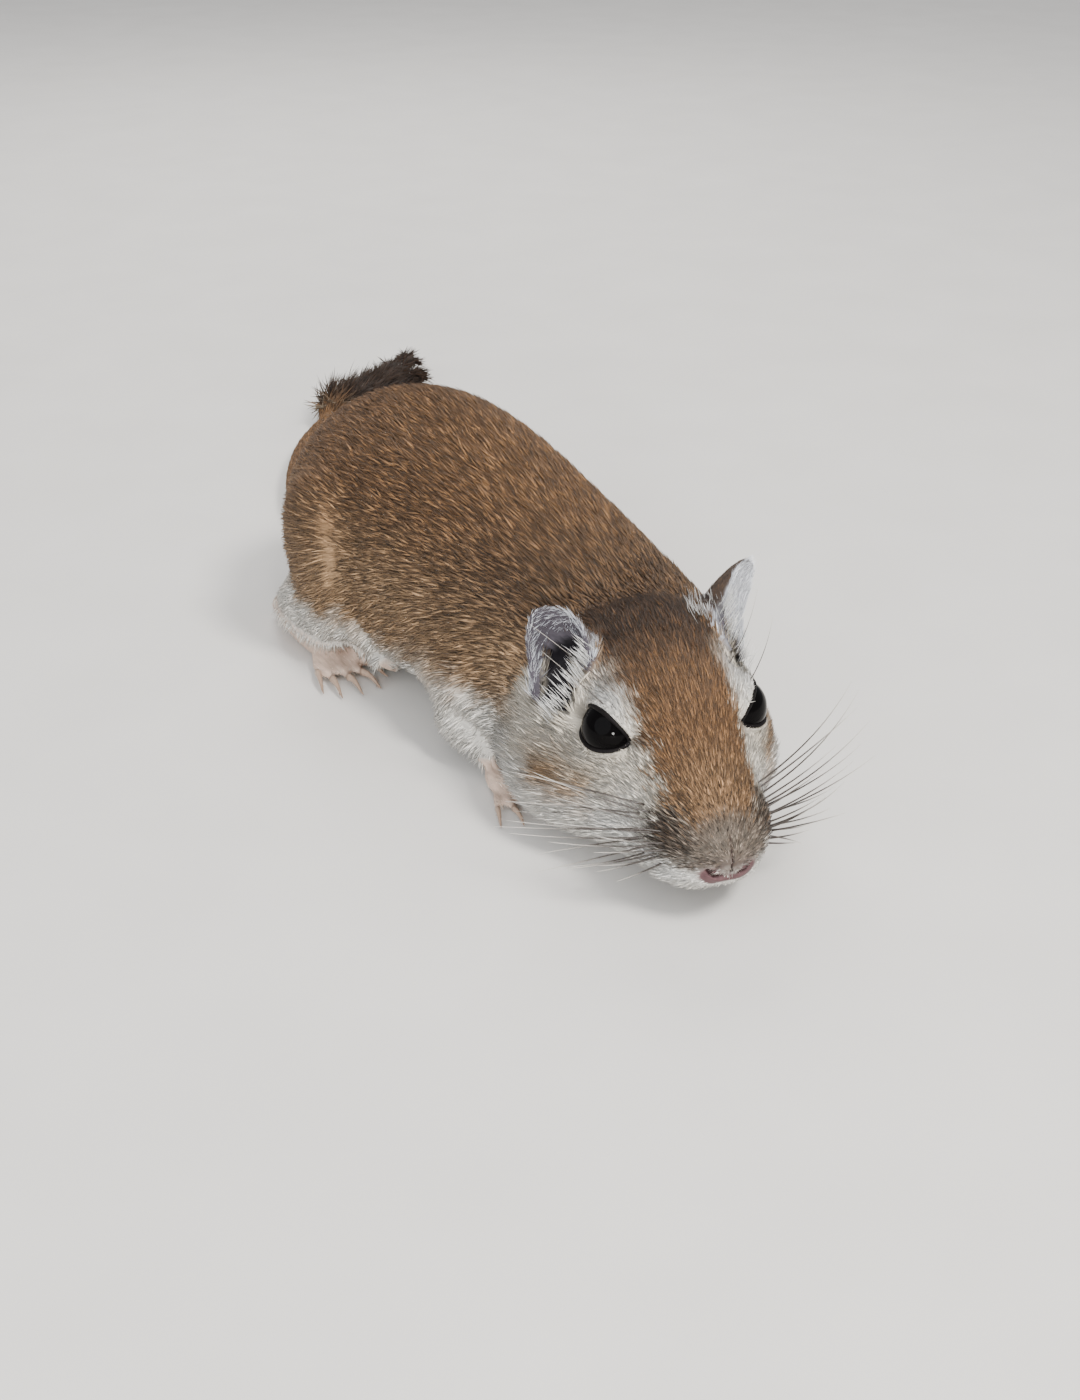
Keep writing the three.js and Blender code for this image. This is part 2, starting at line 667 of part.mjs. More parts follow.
// The whole model
const gerbil = new THREE.Group();
const part = (name, made, material) => {
  const mesh = new THREE.Mesh(geometryOf(made).translate(0, -ORIGIN_BACK, 0), material);
  mesh.name = name;
  gerbil.add(mesh);
};

const eachSide = (make) => Object.fromEntries(Object.entries(SIDES).map(([name, side]) => [name, make(side)]));
const hindFeet = eachSide((side) => largest(hindFoot(side).subtract(underFloor)));
const foreFeet = eachSide((side) => largest(foreFoot(side).subtract(underFloor)));
const grownHindFeet = eachSide((side) => hindFoot(side, GAP));
const grownForeFeet = eachSide((side) => foreFoot(side, GAP));
const grownHindLegs = eachSide((side) => hindLeg(side, GAP));
const grownForeLegs = eachSide((side) => foreLeg(side, GAP));
const limbTools = [grownHindFeet, grownForeFeet, grownHindLegs, grownForeLegs].flatMap(Object.values);
const fleshCut = (made) => largest(cutBy(made, [...limbTools, underFloor]));

// The head, with its lids, mouth and nose, and sockets for the eyes
const sockets = eachSide((side) =>
  ball(eyeAxes(side).centre, EYE_RADIUS + GAP, 3).transform(headMatrix.elements),
);
const headWhole = joined([
  bodyLength(0, NAPE - GAP / 2, 24, 32, { noseEnd: true }),
  ...Object.values(SIDES).map(lids),
]);
const hollows = [...Object.values(sockets), ...Object.keys(SIDES).map(earHollow), ...mouthAndNose()];
part("head", largest(cutBy(headWhole, [...hollows, ...limbTools])), coatFace);

const grownHead = bodyLength(0, SHOULDER, 24, 32, { noseEnd: true, grow: GAP });
for (const [name, side] of Object.entries(SIDES)) {
  part(`ear_${name}`, largest(earLeaf(name).subtract(grownHead)), earSkin);
  part(`eye_${name}`, ball(eyeAxes(side).centre, EYE_RADIUS, 3).transform(headMatrix.elements), eyeGloss);
}

part("neck", fleshCut(bodyLength(NAPE + GAP / 2, SHOULDER - GAP / 2, 4, 32)), coatPale);
part("torso", fleshCut(bodyLength(SHOULDER + GAP / 2, LOIN - GAP / 2, 9, 32)), coatTop);
part("rump", fleshCut(bodyLength(LOIN + GAP / 2, BODY_END, 7, 32)), coatTop);

for (const [name, side] of Object.entries(SIDES)) {
  part(`hind_leg_${name}`, largest(hindLeg(side).subtract(grownHindFeet[name]).subtract(underFloor)), coatTop);
  part(`hind_foot_${name}`, hindFeet[name], footSkin);
  part(`foreleg_${name}`, largest(foreLeg(side).subtract(grownForeFeet[name]).subtract(underFloor)), coatPale);
  part(`forefoot_${name}`, foreFeet[name], footSkin);
}

const grownRump = bodyLength(LOIN, BODY_END, 10, 40, { grow: GAP });
const TAIL_JOINTS = [0.36, 0.7];
part("tail_base", largest(cutBy(tailLength(0, TAIL_JOINTS[0], 9, 12), [grownRump, underFloor])), coatTop);
part(
  "tail_middle",
  tailLength(TAIL_JOINTS[0] + GAP / TAIL_LENGTH, TAIL_JOINTS[1], 7, 12).subtract(underFloor),
  coatTop,
);
part(
  "tail_tip",
  largest(joined([tailLength(TAIL_JOINTS[1] + GAP / TAIL_LENGTH, 1, 8, 12), ...tuftLocks()]).subtract(underFloor)),
  tuftDark,
);

export default gerbil;
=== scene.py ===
import math

import bmesh
import bpy
import numpy as np
from mathutils import Matrix, Vector
from mathutils.bvhtree import BVHTree


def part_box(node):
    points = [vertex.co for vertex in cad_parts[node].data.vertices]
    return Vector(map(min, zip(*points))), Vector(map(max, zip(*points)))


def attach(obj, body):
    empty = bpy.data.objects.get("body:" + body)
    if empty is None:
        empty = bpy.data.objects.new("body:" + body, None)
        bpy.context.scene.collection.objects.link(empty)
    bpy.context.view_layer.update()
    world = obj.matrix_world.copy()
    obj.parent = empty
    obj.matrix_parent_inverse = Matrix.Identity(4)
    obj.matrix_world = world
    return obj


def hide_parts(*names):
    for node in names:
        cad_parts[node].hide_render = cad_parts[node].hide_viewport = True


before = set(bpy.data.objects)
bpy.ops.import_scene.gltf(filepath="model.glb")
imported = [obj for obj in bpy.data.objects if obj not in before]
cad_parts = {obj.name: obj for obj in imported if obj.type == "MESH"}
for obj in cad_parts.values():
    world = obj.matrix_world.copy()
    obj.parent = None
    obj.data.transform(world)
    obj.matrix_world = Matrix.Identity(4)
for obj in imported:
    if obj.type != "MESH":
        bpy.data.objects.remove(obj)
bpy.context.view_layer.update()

MM = 0.001
SEED = 11
SIDES = {"left": 1, "right": -1}

# The head's frame: from the nose tip, x to the animal's left, y back along the skull, z up
HEAD_YAW = math.radians(-18)
HEAD_PITCH = math.radians(8)
NOSE_TIP = np.array([-13.0, -77.0, 8.8])

# Eyes and ears, in the head's frame
EYE_RADIUS = 3.6
EYE_CENTRE = np.array([8.1, 19.2, 7.4])
EYE_OUTWARD = np.array([0.86, -0.33, 0.39])
EYE_FORWARD = np.array([0.0, -0.98, 0.2])
LID_OPENING = {"front": 80, "rear": 86, "across": 39}
UPPER_LID_DROOP = 0.93  # the fold of skin over the eye hangs a little lower than the solid lid
EARS = {
    "left": {"root": [11.4, 28.8, 7.0], "tip": [14.6, 34.4, 18.0], "opening": [0.58, -0.81, 0]},
    "right": {"root": [-12.2, 27.4, 5.8], "tip": [-11.8, 32.3, 16.9], "opening": [-0.72, -0.69, 0]},
}
EAR_CUP = {"radius": 3.5, "high": 7.2, "flare": 0.26}  # wider by the flare towards the crown
EAR_HALF_WIDTH = 5.2
EAR_ROLL = {"front": [166, 52], "back": [140, 40]}  # how far each rim rolls over, at the root and the tip
EAR_SUNK = 1.2

# Feet: where the heel stands, and the toes that spread from the sole's front
HIND_FOOT = {
    "heel": (16.4, 25.5),
    "turn": 5,
    "sole": 20,
    "width": 5.8,
    "toe_length": 7,
    "toe_radius": 1.05,
    "toes": [(-0.8, -16, 0.5), (-0.5, -8, 0.95), (0, 0, 1.05), (0.5, 8, 1), (0.85, 18, 0.6)],
    "claw": 2.6,
}
FORE_FOOT = {
    "heel": (16.9, -34.0),
    "turn": 6,
    "sole": 5.7,
    "width": 4.8,
    "toe_length": 3.8,
    "toe_radius": 0.8,
    "toes": [(-0.8, -22, 0.8), (-0.28, -7, 1), (0.28, 7, 1), (0.8, 22, 0.85)],
    "claw": 2.0,
}
# The free stretches of the legs: from knee to heel and from elbow to wrist
LIMBS = [
    {"ends": ((17.6, 1.0, 7.0), (16.2, 24.0, 4.0)), "reach": 4.2},
    {"ends": ((16.8, -21.5, 7.5), (16.8, -34.5, 3.6)), "reach": 3.8},
]
TAIL_LINE = np.array(
    [[0, 29, 9], [0.3, 37, 4.6], [2.2, 47, 3.1], [8.5, 63, 2.9], [19.5, 79, 2.7], [34, 91.5, 2.4], [47, 99, 2.1]]
)
TUFT_START = 66  # millimetres along the tail

cos_yaw, sin_yaw = math.cos(HEAD_YAW), math.sin(HEAD_YAW)
cos_pitch, sin_pitch = math.cos(HEAD_PITCH), math.sin(HEAD_PITCH)
HEAD_AXES = np.array([[cos_yaw, -sin_yaw, 0], [sin_yaw, cos_yaw, 0], [0, 0, 1]]) @ np.array(
    [[1, 0, 0], [0, cos_pitch, -sin_pitch], [0, sin_pitch, cos_pitch]]
)


def to_head(points):
    return (np.asarray(points, float) - NOSE_TIP) @ HEAD_AXES


def from_head(points):
    return np.asarray(points, float) @ HEAD_AXES.T + NOSE_TIP


def turn_from_head(vectors):
    return np.asarray(vectors, float) @ HEAD_AXES.T


def unit(vectors):
    vectors = np.asarray(vectors, float)
    return vectors / np.maximum(np.linalg.norm(vectors, axis=-1, keepdims=True), 1e-9)


def ramp(value, low, high):
    """0 at low, 1 at high, with a smooth run between."""
    share = np.clip((value - low) / (high - low), 0, 1)
    return share * share * (3 - 2 * share)


def spot(points, centre, reach):
    """1 at the centre and fading over the reach, a number or one for each axis."""
    return np.exp(-(((points - np.asarray(centre)) / np.asarray(reach)) ** 2).sum(axis=-1))


def mixed(a, b, share):
    share = np.asarray(share)[..., None]
    return a * (1 - share) + np.asarray(b) * share


def waves(points, scale, phase=0.0):
    """A smooth uneven field from about -1 to 1, for edges and patches that aren't ruled."""
    x, y, z = (np.asarray(points) / scale + phase).T
    first = np.sin(x * 1.7 + 1.3 * np.sin(y * 1.1 + z)) * np.cos(y * 1.9 + np.sin(z * 2.3 + x))
    second = np.sin(z * 3.1 + y * 2.7 + 2.0 * np.sin(x * 1.3))
    return 0.6 * first + 0.4 * second


# Meshes


def new_object(name, verts, faces, smooth=True):
    mesh = bpy.data.meshes.new(name)
    mesh.from_pydata((np.asarray(verts) * MM).tolist(), [], faces if isinstance(faces, list) else faces.tolist())
    mesh.update()
    if smooth:
        mesh.polygons.foreach_set("use_smooth", np.ones(len(mesh.polygons), bool))
    piece = bpy.data.objects.new(name, mesh)
    bpy.context.scene.collection.objects.link(piece)
    return piece


def triangle_object(name, verts, triangles):
    """A mesh of many triangles, made quickly."""
    mesh = bpy.data.meshes.new(name)
    mesh.vertices.add(len(verts))
    mesh.vertices.foreach_set("co", (verts * MM).astype(np.float32).ravel())
    mesh.loops.add(triangles.size)
    mesh.loops.foreach_set("vertex_index", triangles.astype(np.int32).ravel())
    mesh.polygons.add(len(triangles))
    mesh.polygons.foreach_set("loop_start", np.arange(0, triangles.size, 3, dtype=np.int32))
    mesh.polygons.foreach_set("use_smooth", np.ones(len(triangles), bool))
    mesh.update(calc_edges=True)
    piece = bpy.data.objects.new(name, mesh)
    bpy.context.scene.collection.objects.link(piece)
    return piece


def points_of(mesh):
    co = np.zeros(len(mesh.vertices) * 3, np.float32)
    mesh.vertices.foreach_get("co", co)
    return co.reshape(-1, 3).astype(float)


def normals_of(mesh):
    normals = np.zeros(len(mesh.vertices) * 3, np.float32)
    mesh.vertex_normals.foreach_get("vector", normals)
    return normals.reshape(-1, 3).astype(float)


def edges_of(mesh):
    edges = np.zeros(len(mesh.edges) * 2, np.int32)
    mesh.edges.foreach_get("vertices", edges)
    return edges.reshape(-1, 2)


def paint(mesh, name, colours):
    layer = mesh.color_attributes.new(name, "FLOAT_COLOR", "POINT")
    rgba = np.ones((len(colours), 4), np.float32)
    rgba[:, :3] = colours
    layer.data.foreach_set("color", rgba.ravel())


# Eyes and ears as places


def eye_axes(side):
    outward = unit(EYE_OUTWARD * [side, 1, 1])
    forward = unit(EYE_FORWARD - outward * (EYE_FORWARD @ outward))
    upward = np.cross(outward, forward)
    upward = upward if upward[2] > 0 else -upward
    return EYE_CENTRE * [side, 1, 1], outward, forward, upward


def lid_opening(angle):
    """How far the lids stand from the eye's middle, in degrees, at an angle round it from its front corner."""
    c, s = np.cos(angle), np.sin(angle)
    sharper = np.where(c > 0, 1.65, 1.9)
    along = np.where(c > 0, LID_OPENING["front"], LID_OPENING["rear"])
    across = LID_OPENING["across"] * np.where(s > 0, UPPER_LID_DROOP, 1.0)
    total = np.abs(c / along) ** sharper + np.abs(s / across) ** sharper
    return total ** (-1 / sharper)


def round_the_eye(head_points, side):
    """Distance from the eye's centre, degrees from its outward line, and degrees past the lids' edge."""
    centre, outward, forward, upward = eye_axes(side)
    offset = head_points - centre
    far = np.linalg.norm(offset, axis=1)
    turn = np.degrees(np.arccos(np.clip(offset @ outward / np.maximum(far, 1e-9), -1, 1)))
    around = np.arctan2(offset @ upward, offset @ forward)
    return far, turn, turn - lid_opening(around)


def ear_axes(name):
    root, tip, opening = (np.array(EARS[name][key], float) for key in ("root", "tip", "opening"))
    up = unit(tip - root)
    opening = unit(opening - up * (opening @ up))
    return root, tip, up, opening, np.cross(up, opening)


def ear_rim(name, share):
    """The front rim of an ear, in the head's frame, at a share of its length from the root."""
    root, tip, up, opening, across = ear_axes(name)
    front, back = (np.radians(np.interp(share**0.8, [0, 1], EAR_ROLL[edge])) for edge in ("front", "back"))
    width = EAR_HALF_WIDTH * np.interp(share, [0, 0.56, 0.85, 1], [0.66, 1, 0.85, 0.3])
    radius = width / math.sin(min(math.pi / 2, (front + back) / 2))
    angle = -SIDES[name] * front
    bowl = math.cos(min(math.pi / 2, back)) * radius - 1.2 * math.sin(math.pi * share)
    risen = root + up * (share * (np.linalg.norm(tip - root) + EAR_SUNK) - EAR_SUNK)
    return risen + across * math.sin(angle) * radius + opening * (bowl - math.cos(angle) * radius)


def line_distance(points, start, end):
    start, run = np.asarray(start, float), np.asarray(end, float) - start
    share = np.clip((points - start) @ run / (run @ run), 0, 1)
    return np.linalg.norm(points - start - share[:, None] * run, axis=1)


def in_box(points, node, margin):
    low, high = (np.array(corner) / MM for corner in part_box(node))
    return np.all((points > low - margin) & (points < high + margin), axis=1)


def regions(points, normals):
    """Where each point of the skin lies: a share from 0 to 1 for every named region."""
    head = to_head(points)
    tail_at, _ = along_tail(points)
    where = {"head": head}
    foot = np.zeros(len(points))
    for side in SIDES:
        foot = np.maximum(foot, in_box(points, f"hind_foot_{side}", 0.4) * ramp(points[:, 2], 5.0, 3.6))
        foot = np.maximum(foot, in_box(points, f"forefoot_{side}", 0.4) * ramp(points[:, 2], 3.8, 2.8))
    mirrored = points.copy()
    mirrored[:, 0] = np.abs(points[:, 0])
    leg = np.zeros(len(points))
    for limb in LIMBS:
        gap = line_distance(mirrored, *limb["ends"])
        leg = np.maximum(leg, ramp(gap, limb["reach"] + 2.5, limb["reach"] - 0.5))
    where["foot"] = foot
    where["leg"] = leg * (1 - foot)
    where["tail"] = ramp(tail_at, 1, 6) * (1 - foot)
    where["tuft"] = ramp(tail_at, TUFT_START, TUFT_START + 8)
    where["tuft_end"] = ramp(tail_at, TUFT_START + 16, TUFT_START + 32)
    ear, inner = np.zeros(len(points)), np.zeros(len(points))
    for name in EARS:
        near = np.flatnonzero(in_box(points, f"ear_{name}", 0.5))
        _, _, _, opening, _ = ear_axes(name)
        for i in near:
            if ear_trees[name].find_nearest(Vector(points[i] * MM), 0.75 * MM)[0] is not None:
                ear[i] = 1
        inner = np.maximum(inner, ear * ramp(normals @ turn_from_head(opening), -0.15, 0.35) * in_box(points, f"ear_{name}", 0.5))
    hollow = np.zeros(len(points))
    for name in EARS:
        root, _, up, opening, across = ear_axes(name)
        offset = head - root
        risen = offset @ up
        inward = -SIDES[name] * offset[:, 0]
        reach = EAR_CUP["radius"] - 0.7 + (0.7 + EAR_CUP["flare"] * np.clip(risen, 0, 5)) * ramp(inward, -0.5, 1.5)
        cup = ramp(np.hypot(offset @ across, offset @ opening) - reach, 0.5, -0.3)
        clear = ramp(round_the_eye(head, SIDES[name])[0], 7.2, 8.4)
        hollow = np.maximum(hollow, clear * cup * ramp(risen, -2.2, -1.1) * ramp(risen, EAR_CUP["high"] + 1, EAR_CUP["high"]))
    where["hollow"] = hollow
    where["ear"] = ear
    where["ear_inner"] = inner
    where["face"] = ramp(head[:, 1], 38, 30) * (1 - foot) * (1 - ear) * (np.abs(head[:, 0]) < 19)
    return where


tail_points = np.array([[np.interp(s, np.arange(7), TAIL_LINE[:, k]) for k in range(3)] for s in np.linspace(0, 6, 121)])


def smooth_path(points, rounds):
    for _ in range(rounds):
        points[1:-1] = (points[:-2] + 2 * points[1:-1] + points[2:]) / 4
    return points


tail_points = smooth_path(tail_points, 60)
tail_end = tail_points[-1] + unit(tail_points[-1] - tail_points[-4]) * np.linspace(0, 18, 25)[1:, None] * [1, 1, 0]
tail_points = np.concatenate([tail_points, tail_end])
tail_steps = np.linalg.norm(np.diff(tail_points, axis=0), axis=1)
tail_places = np.concatenate([[0], np.cumsum(tail_steps)])
tail_tangents = unit(np.gradient(tail_points, axis=0))


def along_tail(points):
    """Millimetres along the tail for points beside it, and the tail's direction there; 0 off the tail."""
    at = np.zeros(len(points))
    ahead = np.tile([0.0, 1.0, 0.0], (len(points), 1))
    behind = np.flatnonzero(points[:, 1] > 30)
    for part in np.array_split(behind, max(1, len(behind) // 4000)):
        gap = np.linalg.norm(points[part, None, :] - tail_points[None], axis=2)
        best = gap.argmin(axis=1)
        at[part] = tail_places[best] * ramp(gap.min(axis=1), 9.0, 6.5)
        ahead[part] = tail_tangents[best]
    return at, ahead


def tree_of(piece):
    mesh = piece.data
    return BVHTree.FromPolygons([v.co for v in mesh.vertices], [p.vertices for p in mesh.polygons])


ear_trees = {name: tree_of(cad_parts[f"ear_{name}"]) for name in EARS}

# Markings, the same for the skin and the coat, with painted shade on the crown, the neck and in the ears' hollows.
# Colours are linear.
GINGER = np.array([0.228, 0.121, 0.055])
GINGER_PALE = np.array([0.285, 0.165, 0.082])
CROWN_BROWN_AND_SHADE = np.array([0.06, 0.031, 0.016])
NAPE_BROWN = np.array([0.1, 0.058, 0.032])
BACK_GOLD = np.array([0.235, 0.125, 0.056])
FLANK = np.array([0.38, 0.24, 0.13])
CREAM = np.array([0.64, 0.58, 0.48])
OFF_WHITE = np.array([0.85, 0.84, 0.81])
WHITE = np.array([0.9, 0.89, 0.86])
BELLY = np.array([0.74, 0.71, 0.65])
TAN = np.array([0.36, 0.29, 0.21])
NECK_GREY_AND_SHADE = np.array([0.42, 0.4, 0.37])
CHEEK_ORANGE = np.array([0.4, 0.24, 0.12])
BED_DARK = np.array([0.07, 0.048, 0.034])
NOSE_GREY = np.array([0.118, 0.092, 0.072])
NOSE_PINK = np.array([0.098, 0.053, 0.056])
PAINTED_PIT_SHADE = np.array([0.03, 0.015, 0.015])
EAR_SKIN = np.array([0.045, 0.04, 0.048])
EAR_PALE = np.array([0.76, 0.78, 0.84])
EAR_BACK = np.array([0.06, 0.042, 0.032])
FOOT_SKIN = np.array([0.42, 0.26, 0.2])
FOOT_FUR = np.array([0.6, 0.5, 0.41])
TAIL_UNDER = np.array([0.5, 0.39, 0.27])
TUFT_BROWN = np.array([0.05, 0.03, 0.02])

# Half the ginger cap's width at places back from the nose
CAP_EDGE = [(0, 2.6), (3, 4.0), (6, 5.2), (12, 5.6), (17, 5.9), (23, 6.7), (28, 8.2), (33, 12.0), (38, 16.0)]
CHEEK_PATCH = {"at": (13.1, 19.9, -3.2), "reach": (5.8, 6.2, 6.2)}


def markings(points, normals, where):
    head = where["head"]
    aside = np.abs(head[:, 0])
    back = head[:, 1]
    level = head[:, 2]
    uneven = waves(points, 2.4)
    fine = waves(points, 0.9, 4.0)
    mirrored = np.stack([aside, back, level], axis=1)
    # The body: gold above, paler down the flanks, cream below
    height = points[:, 2] + 1.5 * uneven
    body = mixed(np.tile(FLANK, (len(points), 1)), BACK_GOLD, ramp(height, 17, 31))
    body = mixed(body, BELLY, ramp(height, 13, 6.5))
    body = mixed(body, BACK_GOLD, ramp(spot(points, TAIL_LINE[0] + [0, 0, 4], (9, 8, 7)), 0.2, 0.7))
    body = mixed(body, NAPE_BROWN, 0.75 * ramp(back, 60, 40) * ramp(height, 17, 25))
    # The face
    edge = np.interp(back, *zip(*CAP_EDGE)) + 0.45 * uneven + 0.25 * fine
    soft = 1 + 1.2 * ramp(back, 14, 24)
    cap = ramp(aside, edge + 0.9 * soft, edge - 0.7 * soft) * ramp(level, 0.0, 2.6) * ramp(back, 1.2, 3.2)
    ginger = mixed(np.tile(GINGER, (len(points), 1)), GINGER_PALE, ramp(back, 12, 5))
    # The crown between the eyes and the ears: the fur's own brown, painted darker as the shadow that falls over
    # the crown
    ginger = mixed(ginger, CROWN_BROWN_AND_SHADE, ramp(back + 1.2 * uneven, 17, 27) * ramp(aside, 9.5, 5.5))
    face = mixed(np.tile(CREAM, (len(points), 1)), WHITE, ramp(level, 2.5, -3.5) * ramp(back, 26, 13))
    face = mixed(face, OFF_WHITE, 0.9 * spot(mirrored, (8.6, 19.6, 10.4), (2.8, 3.8, 3.0)))
    face = mixed(face, CREAM * 0.85, 0.8 * spot(mirrored, (9.4, 14.5, 4.4), (3.0, 4.0, 2.6)))
    face = mixed(face, OFF_WHITE, 0.5 * spot(mirrored, (8.6, 10.0, 1.2), (2.6, 3.4, 2.8)))
    face = mixed(face, TAN, 0.35 * spot(mirrored, (10.6, 19.0, 1.5), (3.5, 5.0, 2.5)))
    face = mixed(face, GINGER_PALE, 0.8 * spot(mirrored, (7.4, 26.5, 13.2), (3.0, 5.0, 3.2)))
    patch = spot(mirrored, CHEEK_PATCH["at"], CHEEK_PATCH["reach"])
    face = mixed(face, CHEEK_ORANGE, 0.92 * ramp(patch + 0.14 * uneven + 0.08 * fine, 0.1, 0.85))
    face = mixed(face, ginger, cap)
    face = mixed(face, EAR_SKIN * 1.3, ramp(spot(mirrored, (10.8, 32.0, 10.6), (2.0, 3.4, 3.4)), 0.15, 0.6))
    speckled = waves(points, 0.42, 9.0)
    zone = ramp(back + 1.2 * uneven + 0.6 * fine, 8.0, 4.2) * ramp(level + 0.9 * fine + 0.6 * uneven, -2.0, 1.1)
    blotched = ramp(waves(points, 0.75, 3.0) + 0.7 * speckled, -0.6, 0.6)
    muzzle = mixed(NOSE_GREY * 0.5, NOSE_GREY * 1.6, blotched)
    muzzle = mixed(muzzle, NOSE_PINK * 1.5, 0.6 * spot(mirrored, (0.6, 0.5, -0.6), (2.6, 2.5, 1.7)))
    face = mixed(face, muzzle, 0.92 * zone * (1 - cap * ramp(back, 1.9, 4.3)))
    bed = spot(mirrored, (5.5, 4.6, 2.4), (2.9, 3.1, 3.2))
    face = mixed(face, BED_DARK, 0.75 * ramp(bed + 0.4 * speckled, 0.35, 1.0))
    face = mixed(face, BED_DARK, 0.5 * zone * ramp(speckled, 0.0, 0.6))
    colours = mixed(body, face, ramp(back + 1.5 * uneven, 37, 31) * (aside < 19))
    # Throat, chin and chest
    colours = mixed(colours, BELLY, ramp(level + uneven, 0.0, -5.0) * ramp(back, 60, 38))
    # The side of the neck below the cheek: grey-white fur, painted darker as the shade under the cheek
    colours = mixed(colours, NECK_GREY_AND_SHADE, 0.8 * spot(mirrored, (17.5, 33.0, -7.0), (5.0, 5.5, 7.0)))
    # Legs, feet, tail and ears
    colours = mixed(colours, BELLY, where["leg"] * ramp(points[:, 2], 11, 6))
    colours = mixed(colours, FOOT_FUR, where["foot"])
    tail = mixed(np.tile(TAIL_UNDER, (len(points), 1)), BACK_GOLD, ramp(normals[:, 2], -0.3, 0.4))
    tail = mixed(tail, TUFT_BROWN, where["tuft"])
    colours = mixed(colours, tail, where["tail"])
    ear = mixed(np.tile(EAR_BACK, (len(points), 1)), EAR_PALE, where["ear_inner"])
    colours = mixed(colours, ear, where["ear"])
    # Painted shade: the hollow at each ear's root is painted darker than the ear's skin, as the shade deep in the
    # ear's opening
    return mixed(colours, EAR_SKIN * 0.4, where["hollow"])


def coat_depth(where):
    """How deep the skin lies under the frame's surface, in millimetres."""
    back = where["head"][:, 1]
    depth = 1.3 * ramp(back, 26, 42) + 0.7 * ramp(back, 3, 22) + 0.12
    depth = depth * (1 - where["foot"]) * (1 - where["ear"]) + 0.12 * where["foot"] + 0.05 * where["ear"]
    depth = depth * (1 - where["tail"]) + 0.45 * where["tail"]
    return depth * (1 - 0.5 * where["leg"])


# The skin
FLESH = ["head", "neck", "torso", "rump", "tail_base", "tail_middle", "tail_tip"]
FLESH += [f"{name}_{side}" for side in SIDES for name in ("ear", "hind_leg", "hind_foot", "foreleg", "forefoot")]
OVERLAP = 0.2  # grown past the gaps, so that the nodes run together
VOXEL = 0.42
HAUNCH_EDGE = {"at": (20.0, 11.0, 20.0), "reach": (9.0, 9.0, 13.0)}  # the fold in front of the thigh, under fur


def grown_flesh():
    whole = bmesh.new()
    for name in [*FLESH, "eye_left", "eye_right"]:
        piece = bmesh.new()
        piece.from_mesh(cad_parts[name].data)
        bmesh.ops.scale(piece, vec=(1 / MM,) * 3, verts=piece.verts)
        bmesh.ops.remove_doubles(piece, verts=piece.verts, dist=1e-4)
        piece.normal_update()
        for vert in piece.verts:
            vert.co += vert.normal * OVERLAP
        made = bpy.data.meshes.new("grown")
        piece.to_mesh(made)
        piece.free()
        whole.from_mesh(made)
        bpy.data.meshes.remove(made)
    mesh = bpy.data.meshes.new("flesh")
    whole.to_mesh(mesh)
    whole.free()
    return mesh


def remeshed(mesh, voxel):
    holder = bpy.data.objects.new("holder", mesh)
    bpy.context.scene.collection.objects.link(holder)
    remesh = holder.modifiers.new("remesh", "REMESH")
    remesh.mode = "VOXEL"
    remesh.voxel_size = voxel
    made = bpy.data.meshes.new_from_object(holder.evaluated_get(bpy.context.evaluated_depsgraph_get()))
    bpy.data.objects.remove(holder)
    return made


def relaxed(points, edges, weight, rounds):
    count = len(points)
    links = np.maximum(np.bincount(edges.ravel(), minlength=count), 1)
    for _ in range(rounds):
        total = np.stack(
            [
                np.bincount(edges[:, 0], points[edges[:, 1], k], count)
                + np.bincount(edges[:, 1], points[edges[:, 0], k], count)
                for k in range(3)
            ],
            axis=1,
        )
        points = points + weight[:, None] * 0.6 * (total / links[:, None] - points)
    return points


def refined(mesh, is_fine, cuts):
    """The mesh with the faces that is_fine picks split into smaller ones."""
    work = bmesh.new()
    work.from_mesh(mesh)
    centres = np.array([face.calc_center_median() for face in work.faces])
    chosen = is_fine(centres)
    picked = [face for face, pick in zip(work.faces, chosen) if pick]
    edges = list({edge for face in picked for edge in face.edges})
    bmesh.ops.subdivide_edges(work, edges=edges, cuts=cuts, use_grid_fill=True)
    bmesh.ops.triangulate(work, faces=[face for face in work.faces if len(face.verts) > 4])
    work.to_mesh(mesh)
    work.free()
    mesh.update()
    return mesh


NOSTRIL = np.array([[1.2, -0.8], [1.8, -0.85], [2.3, -0.45], [2.6, 0.0]])
NOSE_RIM = np.array([[0.0, -1.55], [1.1, -1.6], [1.8, -1.3], [2.2, -0.85]])


def line_gap(aside, level, line):
    """Distance in x and z from points to a line of points."""
    best = np.full(len(aside), 1e9)
    for a, b in zip(line[:-1], line[1:]):
        run = b - a
        share = np.clip(((aside - a[0]) * run[0] + (level - a[1]) * run[1]) / (run @ run), 0, 1)
        best = np.minimum(best, np.hypot(aside - a[0] - share * run[0], level - a[1] - share * run[1]))
    return best


def sculpt_face(head):
    """Nose, lids and lips pressed into points given in the head's frame."""
    head = head.copy()
    aside, back, level = np.abs(head[:, 0]), head[:, 1], head[:, 2]
    front = ramp(back, 3.4, 1.2)
    cleft = np.exp(-((head[:, 0] / 0.16) ** 2)) * ramp(level, 4.3, 3.4) * ramp(level, -1.0, 0.0) * front
    nostril = np.exp(-((line_gap(aside, level, NOSTRIL) / 0.24) ** 2)) * front
    rim = np.exp(-((line_gap(aside, level, NOSE_RIM) / 0.45) ** 2)) * front
    head[:, 1] += 0.35 * cleft + 0.6 * nostril - 0.22 * rim
    for side in SIDES.values():
        far, turn, past = round_the_eye(head, side)
        centre, *_ = eye_axes(side)
        near = far < 6.2
        target = EYE_RADIUS - 0.5 + 0.92 * ramp(past, 2.5, 10)
        hold = ramp(past, 28, 10)
        radius = np.where(near, far + (target - far) * hold, far)
        head = centre + (head - centre) * (radius / np.maximum(far, 1e-9))[:, None]
    return head


